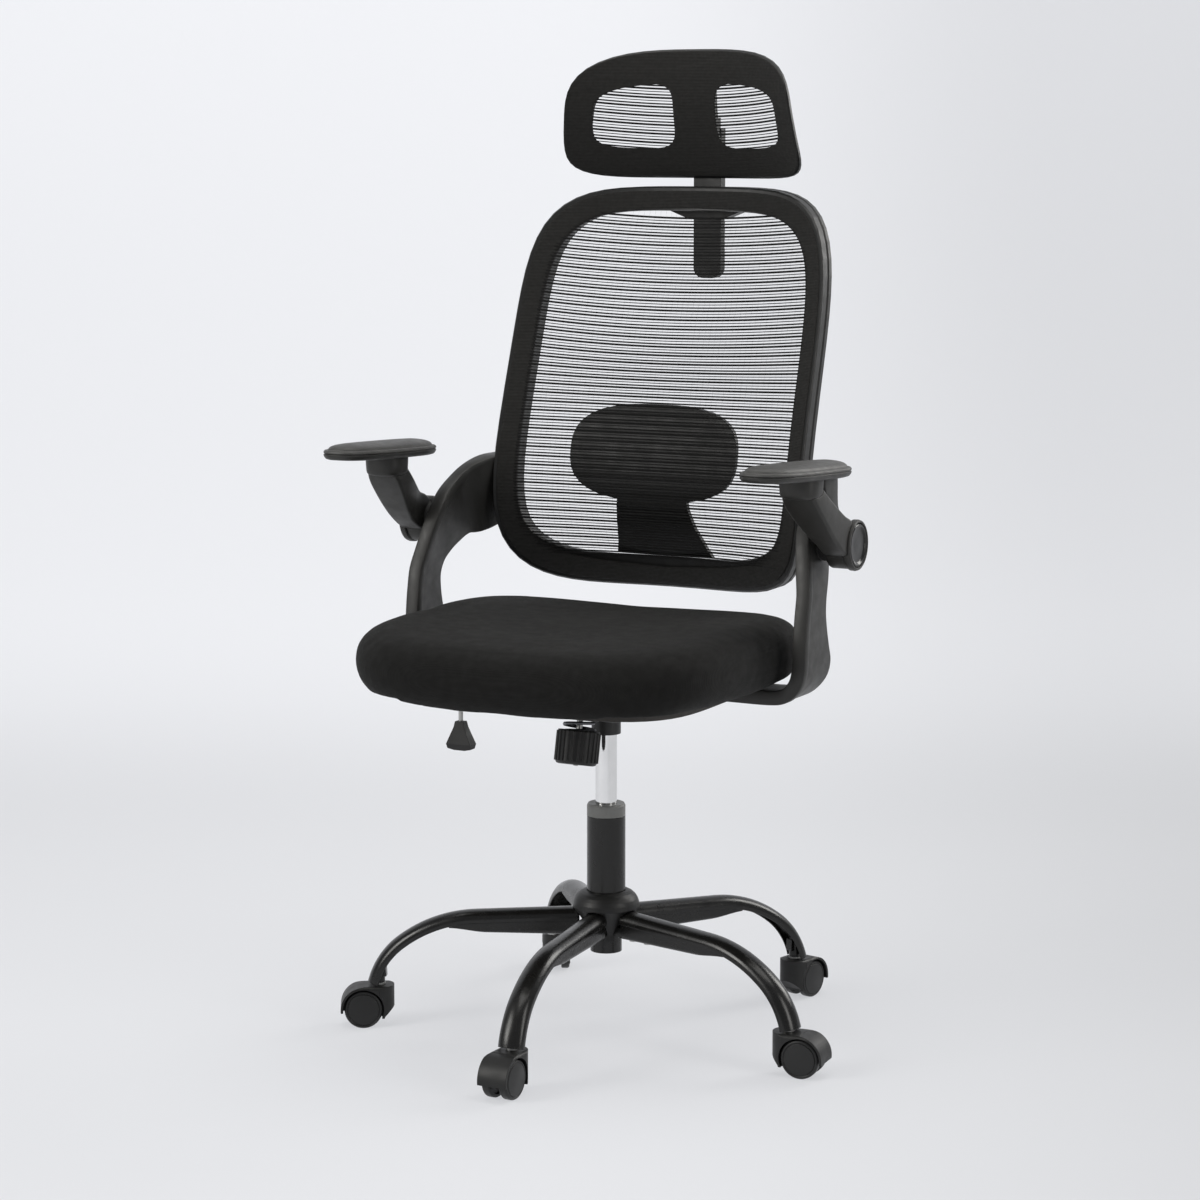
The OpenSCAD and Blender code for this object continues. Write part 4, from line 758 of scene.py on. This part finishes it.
def leg_path():
    """Points of the leg's top line, as (radius, height, slope): a straight run and two bends."""
    knee_r = LEG_END_R - LEG_KNEE_R * (math.sin(LEG_END) - math.sin(LEG_MID))
    knee_z = LEG_END_Z + LEG_KNEE_R * (math.cos(LEG_MID) - math.cos(LEG_END))
    bend_r = knee_r - LEG_BEND_R * (math.sin(LEG_MID) - math.sin(LEG_FALL))
    bend_z = knee_z + LEG_BEND_R * (math.cos(LEG_FALL) - math.cos(LEG_MID))
    path = [(r, bend_z + (bend_r - r) * math.tan(LEG_FALL), LEG_FALL)
            for r in (mix(LEG_ROOT_R, bend_r, i / 8) for i in range(9))]
    path += [(bend_r + x, bend_z - z, a) for x, z, a in leg_arc(LEG_BEND_R, LEG_FALL, LEG_MID)]
    path += [(knee_r + x, knee_z - z, a) for x, z, a in leg_arc(LEG_KNEE_R, LEG_MID, LEG_TIP)]
    return path


def leg_section(w):
    """The pressed shell's section: across the leg, and down from its top line."""
    half, inner, foot = w / 2, w / 2 - LEG_T, LEG_LIP - LEG_D
    angles = [math.pi * i / 24 for i in range(25)]
    outer_arch = [(half * math.cos(a), LEG_ARCH * (math.sin(a) - 1)) for a in angles]
    inner_arch = [(inner * math.cos(a), (LEG_ARCH - LEG_T) * math.sin(a) - LEG_ARCH)
                  for a in reversed(angles)]
    lip = half - LEG_T / 2
    return [(half, foot), *outer_arch, (-half, foot), (-lip, -LEG_D), (-inner, foot), *inner_arch,
            (inner, foot), (lip, -LEG_D)]


def legs():
    """The five pressed legs, as smooth shells in place of the CAD's faceted ones."""
    path = leg_path()
    last = len(path) - 1
    rings = []
    for i, (r, z, slope) in enumerate(path):
        w = mix(LEG_W_HUB, LEG_W_END, (i / last) ** 1.5)
        rings.append([(r + d * math.sin(slope), u, z + d * math.cos(slope)) for u, d in leg_section(w)])
    for k in range(5):
        turn = Matrix.Rotation(math.radians(LEG_FIRST + 72 * k), 3, "Z")
        points, faces = loft([[tuple(turn @ Vector(p)) for p in ring] for ring in rings])
        node = f"base_leg_{k + 1}"
        slot = SLOT_OF[node]
        place(new_mesh(f"pressed_leg_{k + 1}", points, faces), "base", FINISHES[slot], [node])


legs()


def tension_spring():
    """The wire spring under the seat: a copy of the CAD's spring that rides the chassis."""
    obj = bpy.data.objects.new("tension_spring_wire", NODES["tension_spring"].data.copy())
    bpy.context.scene.collection.objects.link(obj)
    place(obj, "chassis", FINISHES["spring_steel"], ["tension_spring"])
    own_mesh(obj)


tension_spring()

# ---------------------------------------------------------------- side brackets and arms
bracket_low, bracket_high = box_mm("left_bracket")
cap_low, cap_high = box_mm("left_arm_cap")
arm_high = box_mm("left_arm")[1]
pad_low, pad_high = box_mm("left_arm_pad")
BRACKET_X = bracket_high.x
FOOT_Z = bracket_low.z
BRACKET_T = 16.5
WING_T = 23
FLANGE_T = 18.5
WING_FLANGE_T = 18
BEND = 50
LEAN_FROM = 140  # height over the foot where the post starts to lean in
LEAN = 0.176
KNUCKLE_Y = (cap_low.y + cap_high.y) / 2
KNUCKLE_Z = (cap_low.z + cap_high.z) / 2
ARM_X0 = BRACKET_X + 0.8
ARM_X1 = arm_high.x
PAD_X = (pad_low.x + pad_high.x) / 2
BLOCK_Y = -53
# the wing's outer face turns in from the post to the back frame: Y, and X there
WING_Y = (10, 38, 66, 96, 116, 146)
WING_X = (290, 280, 271, 258.7, 243, 236.5)
# (y, height over the foot) of the bracket's front and rear edges, from above its bend to the wing's end
POST_EDGES = (((-21, 70), (60, 70)), ((-19, 92), (53.5, 91)), ((-15.5, 115), (49.5, 112)),
              ((-9.5, 142), (50.5, 130)), ((-2, 166), (58, 147)), ((6, 187), (69, 159)),
              ((14.5, 207), (79, 167)), ((25, 224), (89, 173)), ((42, 239), (99, 177)),
              ((66, 253), (108, 178)), ((90, 270), (119, 180)), ((112, 282), (129, 184)),
              ((146, 284), (146, 190)))
# the strut's front edge and rear edge as y and height over the pivot, then its faces' x from ARM_X0
STRUT = ((-68, 93, -42, 99, -12.8, 24.2), (-69, 76, -44, 92, -14.8, 26.2), (-59, 61, -35, 79, -16.8, 29.7),
         (-39, 41, -13, 63, -12.8, 31.7), (-16, 20, 9, 50, -5.8, 32.7), (5, 4, 28, 40, 0.2, 33.2),
         (27, -9, 44, 34, 0.2, 33.2), (48, -16, 57, 24, 0.2, 33.2))
# the web's front edge and rear edge as y and depth under the arm's top
WEB = ((-30, 0, 12, 0), (-29, 14, 13, 14), (-22, 32, 13.5, 32), (0, 54, 17, 44), (24, 72, 34, 57),
       (44, 84, 50, 66))


def spline(rows, steps):
    """Catmull-Rom curve through rows of numbers, steps to each span."""
    rows = [np.array(r, float) for r in rows]
    rows = [2 * rows[0] - rows[1]] + rows + [2 * rows[-1] - rows[-2]]
    out = []
    for a, b, c, d in zip(rows, rows[1:], rows[2:], rows[3:]):
        for t in (i / steps for i in range(steps)):
            out.append(0.5 * (2 * b + (c - a) * t + (2 * a - 5 * b + 4 * c - d) * t * t
                              + (3 * b - a - 3 * c + d) * t ** 3))
    return out + [rows[-2]]


def mirrored(shape):
    """The shape on the chair's other side."""
    points, faces = shape
    return [(-x, y, z) for x, y, z in points], [tuple(reversed(f)) for f in faces]


def turned(profile):
    """A shape turned about the arm's pivot: profile gives (x, radius)."""
    circle = [(math.cos(TAU * i / 64), math.sin(TAU * i / 64)) for i in range(64)]
    return loft([[(x, KNUCKLE_Y + r * c, KNUCKLE_Z + r * s) for c, s in circle] for x, r in profile])


def outer_x(y, z):
    """X of the bracket's outer face: it leans in above the seat and turns in to the back frame."""
    over = z - FOOT_Z - LEAN_FROM
    lean = BRACKET_X - LEAN * max(0.0, over)
    return mix(lean, float(np.interp(y, WING_Y, WING_X)), smooth((y - 20) / 60) * smooth(over / 80))


def bracket_edges():
    """The bracket's front and rear edge points: along the foot, round the bend, up the post, out the wing."""
    rows = [(x, -14, 0, x, 53, 0) for x in (BRACKET_X - 174, BRACKET_X - 110, BRACKET_X - 54)]
    for degrees, front, rear in ((22.5, -15, 56), (45, -18.5, 61), (67.5, -22, 65), (90, -22.5, 66)):
        a = math.radians(degrees)
        x, z = BRACKET_X - BEND + BEND * math.sin(a), BEND - BEND * math.cos(a)
        rows.append((x, front, z, x, rear, z))
    for (front_y, front_z), (rear_y, rear_z) in POST_EDGES:
        rows.append((outer_x(front_y, front_z + FOOT_Z), front_y, front_z,
                     outer_x(rear_y, rear_z + FOOT_Z), rear_y, rear_z))
    rows = spline(rows, 4)
    return ([Vector((r[0], r[1], r[2] + FOOT_Z)) for r in rows],
            [Vector((r[3], r[4], r[5] + FOOT_Z)) for r in rows])


def bracket_section(wide, wing):
    """(across, deep) round the plate's section, with its front flange; wing is 0 to 1 along the wing."""
    deep = mix(BRACKET_T, WING_T, wing)
    flange = max(mix(FLANGE_T, WING_FLANGE_T, wing), deep)
    step = max(mix(FLANGE_T, WING_FLANGE_T, wing) - 1, deep)
    return ((0, 2.4), (0.7, 0.7), (2.4, 0), (10.5, 0), (12, 0.4), (13, 1.3), (15, 1.5), (wide - 4, 0.8),
            (wide - 1.4, 1.3), (wide, 2.8), (wide, deep - 2), (wide - 0.8, deep - 0.6), (wide - 2.4, deep),
            (mix(17, 6, wing), deep), (mix(15, 5, wing), step), (mix(13, 4, wing), flange),
            (2.4, flange), (0.7, flange - 0.7), (0, flange - 2.4))


def bracket_shape():
    """A moulded plate with a thicker front edge: a foot, a bend, a post and a wing to the back frame."""
    fronts, rears = bracket_edges()
    last = len(fronts) - 1
    rings = []
    for k, (front, rear) in enumerate(zip(fronts, rears)):
        a, b = max(k - 1, 0), min(k + 1, last)
        along = (fronts[b] + rears[b]) - (fronts[a] + rears[a])
        across = (rear - front).normalized()
        inwards = across.cross(along).normalized()
        section = bracket_section((rear - front).length, smooth((front.y - 60) / 60))
        rings.append([tuple(front + across * u - inwards * d) for u, d in section])
    x = BRACKET_X
    eye = turned(((x - 24, 6), (x - 24, 19), (x - 22, 21.4), (x - 1.5, 22.4), (x - 0.4, 21.5), (x - 0.4, 6)))
    return join_shapes([loft(rings), eye])


def slab(front, rear, x0, x1, r):
    """A ring round a bar's section with corners of radius r, from (y, z) front to rear and from x0 to x1."""
    start = Vector((0, *front))
    across = Vector((0, *rear)) - start
    wide = across.length
    across.normalize()
    ring = []
    for quarter, (x, u) in enumerate(((x1 - r, r), (x1 - r, wide - r), (x0 + r, wide - r), (x0 + r, r))):
        for i in range(5):
            a = math.pi / 2 * (quarter + i / 4) - math.pi / 2
            q = start + across * (u + r * math.sin(a))
            ring.append((x + r * math.cos(a), q.y, q.z))
    return ring


def arm_shape():
    """The arm: a wide strut, a web behind it, a round block under the pad and a barrel on the pivot."""
    top = arm_high.z
    x0, x1 = ARM_X0, ARM_X1
    strut = [slab((r[0], r[1] + KNUCKLE_Z), (r[2], r[3] + KNUCKLE_Z), x0 + r[4], x0 + r[5], 4.0)
             for r in spline(STRUT, 5)]
    web = [slab((r[0], top - r[1]), (r[2], top - r[3]), x0 + 12, x0 + 27, 2.5) for r in spline(WEB, 5)]
    block = []
    for r, z in ((10, -26), (18, -26), (22, -25), (24.2, -22.5), (25, -19.5), (25.6, -10), (25.8, 0)):
        outline = [super_point(r, r, 2.7, i / 64) for i in range(64)]
        block.append([(PAD_X + x, BLOCK_Y + y, top + z) for x, y in outline])
    barrel = turned(((x0, 8), (x0, 27), (x0 + 2, 29.5), (x0 + 4, 30.4), (x1 - 9, 30.4), (x1 - 8.2, 29.6),
                     (x1 - 7.4, 30.4), (x1 - 6, 32.2), (x1 - 1, 32.4), (x1 + 1.6, 31.6), (x1 + 2.6, 30.2),
                     (x1 + 2.4, 28.8), (x1 + 1, 28), (x1 - 1.4, 27.7), (x1 - 1.4, 8)))
    return join_shapes([loft(strut), loft(web), loft(block), barrel])


def cap_shape():
    """The dished disc in the barrel's outer end."""
    x = ARM_X1 - 1.2
    return turned(((x, 3), (x, 27.3), (x + 2.2, 27.2), (x + 3.2, 26.4), (x + 3.4, 25), (x + 2.6, 23.6),
                   (x + 1.4, 22.6), (x + 0.9, 20), (x + 1.2, 10), (x + 1.3, 0.3)))


for piece, shape, body, node, sharp in (
        ("bracket_moulding", bracket_shape(), "seat", "bracket", 42),
        ("arm_moulding", arm_shape(), "{side}_armrest", "arm", 42),
        ("arm_cap_disc", cap_shape(), "{side}_armrest", "arm_cap", 50)):
    for side in ("left", "right"):
        points, faces = shape if side == "left" else mirrored(shape)
        replaced = f"{side}_{node}"
        slot = SLOT_OF[replaced]
        place(new_mesh(f"{side}_{piece}", points, faces, sharp), body.format(side=side),
              FINISHES[slot], [replaced])

# ---------------------------------------------------------------- arm pads
PAD_HALF_W = 38
PAD_HALF_L = 120
PAD_PITCH = 3
PAD_TOE = 2
PAD_SPLIT = 8
# inset from the edge and height from the middle, from the underside over a groove round the rim to the top
PAD_PROFILE = (
    (34, -9.9), (14, -9.9), (6, -9.9), (2.6, -8.8), (0.9, -6.6), (0, -4.2), (0, -3.0), (1.0, -2.4),
    (1.0, -1.8), (0, -1.2), (0, 0.4), (0.6, 1.6), (1.8, 2.4), (3.2, 2.6), (4.1, 1.9), (4.9, 2.2), (5.2, 3.6),
    (6.2, 5.2), (8.4, 6.8), (12, 8.2), (17, 9.3), (24, 10.2), (31, 10.7), (37, 10.9))


def pad_ring(inset, z):
    """A level ring round the pad, about the pad's middle."""
    power = mix(3.0, 2.6, inset / 37)
    outline = [super_point(PAD_HALF_W - inset, PAD_HALF_L - inset * 1.12, power, i / 96) for i in range(96)]
    return [Vector((x, y, z)) for x, y in outline]


def arm_pad(name, side):
    """A hard base and the soft skin over it, split at the groove."""
    low, high = box_mm(f"{name}_arm_pad")
    middle = (low + high) / 2
    toe = Matrix.Rotation(math.radians(-side * PAD_TOE), 3, "Z")
    turn = toe @ Matrix.Rotation(math.radians(-PAD_PITCH), 3, "X")
    rings = [[tuple(middle + turn @ p) for p in pad_ring(inset, z)] for inset, z in PAD_PROFILE]
    body = f"{name}_armrest"
    base = new_mesh(f"{name}_pad_base", *loft(rings[:PAD_SPLIT + 1]), 50)
    place(base, body, FINISHES["grey_plastic"])
    skin = new_mesh(f"{name}_pad_skin", *loft(rings[PAD_SPLIT:]), 50)
    place(skin, body, FINISHES["arm_rubber"], [f"{name}_arm_pad"])


arm_pad("left", 1)
arm_pad("right", -1)

# ---------------------------------------------------------------- stage, light and camera
VIEW_TURN = math.radians(26.42)  # the camera and the backdrop face the chair from here
WARM = (1, 0.985, 0.95)
BACKDROP_HALF_W = 9.0
BACKDROP_FRONT = -7.0
BACKDROP_BACK = 5.0
BACKDROP_TOP = 9.0
BACKDROP_BEND = 3.0
GLOW_SHARE = 0.72


def backdrop():
    """A floor that curves up into a wall behind the chair, its glow painted with light and shade that change
    across it.
    """
    foot, bend = BACKDROP_BACK - BACKDROP_BEND, BACKDROP_BEND
    profile = [(BACKDROP_FRONT, 0.0), (-1.5, 0.0), (1.5, 0.0), (foot, 0.0)]
    profile += [(foot + bend * math.sin(a), bend - bend * math.cos(a))
                for a in (math.pi / 2 * i / 16 for i in range(1, 17))]
    profile.append((BACKDROP_BACK, BACKDROP_TOP))
    turn = Matrix.Rotation(VIEW_TURN, 3, "Z")
    mesh = bpy.data.meshes.new("backdrop")
    sides = (-BACKDROP_HALF_W, BACKDROP_HALF_W)
    points = [tuple(turn @ Vector((x, y, z))) for x in sides for y, z in profile]
    n = len(profile)
    mesh.from_pydata(points, [], [(i, n + i, n + i + 1, i + 1) for i in range(n - 1)])
    mesh.shade_smooth()
    mesh.materials.append(paper())
    obj = bpy.data.objects.new("backdrop", mesh)
    bpy.context.scene.collection.objects.link(obj)


def paper():
    """Pale paper that glows a little, so that it stays pale behind the chair; the glow's strength carries
    painted light and shade.
    """
    m = Nodes("backdrop_paper", (0.8, 0.81, 0.84), 0.8, Specular_IOR_Level=0.1)
    turned_coords = m.add("ShaderNodeMapping", {"Vector": m.coords, "Rotation": (0, 0, VIEW_TURN)},
                          vector_type="TEXTURE").outputs["Vector"]
    split = m.add("ShaderNodeSeparateXYZ", {"Vector": turned_coords}).outputs

    def rise(axis, start, end, low, high):
        return m.add("ShaderNodeMapRange", {"Value": split[axis], "From Min": start, "From Max": end,
                                            "To Min": low, "To Max": high},
                     interpolation_type="SMOOTHSTEP").outputs["Result"]

    # painted light and shade: the glow dims towards the right and on the floor in front, and brightens
    # further back and up the wall
    across = rise("X", -0.1, 1.2, 0.0, -0.24)
    depth = rise("Y", 1.2, 2.9, -0.15, 0.1)
    height = rise("Z", 0.2, 2.0, 0.0, 0.13)
    painted_light_and_shade = m.math("ADD", m.math("ADD", across, depth), height)
    strength = m.ranged(painted_light_and_shade, 0.0, 2.0, -1.0, 1.0)
    glow = m.add("ShaderNodeEmission", {"Color": (0.86, 0.87, 0.9, 1), "Strength": strength})
    path = m.add("ShaderNodeLightPath").outputs
    seen = m.math("MAXIMUM", path["Is Camera Ray"], path["Is Glossy Ray"])
    seen = m.math("MAXIMUM", seen, path["Is Transmission Ray"])
    blend = m.add("ShaderNodeMixShader", {"Fac": m.math("MULTIPLY", seen, GLOW_SHARE), 1: m.shader.outputs[0],
                                          2: glow.outputs[0]})
    m.tree.links.new(blend.outputs[0], m.tree.nodes["Material Output"].inputs["Surface"])
    return m.done()


def sky():
    """Even, slightly cool light from all round."""
    world = bpy.data.worlds.new("studio")
    bpy.context.scene.world = world
    world.use_nodes = True
    ambient = world.node_tree.nodes["Background"]
    ambient.inputs["Color"].default_value = (0.93, 0.95, 1.0, 1)
    ambient.inputs["Strength"].default_value = 0.3


def softbox(name, place_at, aim, size, power):
    """A rectangular lamp of a size in metres and a power in watts, aimed at a point."""
    data = bpy.data.lights.new(name, "AREA")
    data.shape = "RECTANGLE"
    data.size, data.size_y = size
    data.energy = power
    data.color = WARM
    obj = bpy.data.objects.new(name, data)
    obj.location = place_at
    obj.rotation_euler = (Vector(aim) - Vector(place_at)).to_track_quat("-Z", "Y").to_euler()
    bpy.context.scene.collection.objects.link(obj)


backdrop()
sky()
softbox("top_light", (0.2, -0.2, 3.4), (0, 0, 0.4), (2.6, 2.6), 58)
softbox("key_light", (-2.0, -2.8, 1.9), (0, 0, 0.6), (1.4, 2.0), 76)
softbox("fill_light", (3.0, -0.6, 1.5), (0, 0, 0.7), (1.0, 2.2), 30)
softbox("rim_light", (1.8, 2.6, 2.2), (0, 0.2, 0.8), (1.2, 2.0), 55)

# the camera stands where the photo was taken from
camera_data = bpy.data.cameras.new("camera")
camera_data.lens = 96.59
camera_data.sensor_width = 36
camera_data.clip_end = 60
camera = bpy.data.objects.new("camera", camera_data)
camera.location = (1.8106, -3.6623, 1.1881)
camera.rotation_euler = (math.radians(81.388), 0, VIEW_TURN)
bpy.context.scene.collection.objects.link(camera)
bpy.context.scene.camera = camera
bpy.context.scene.view_settings.view_transform = "Standard"
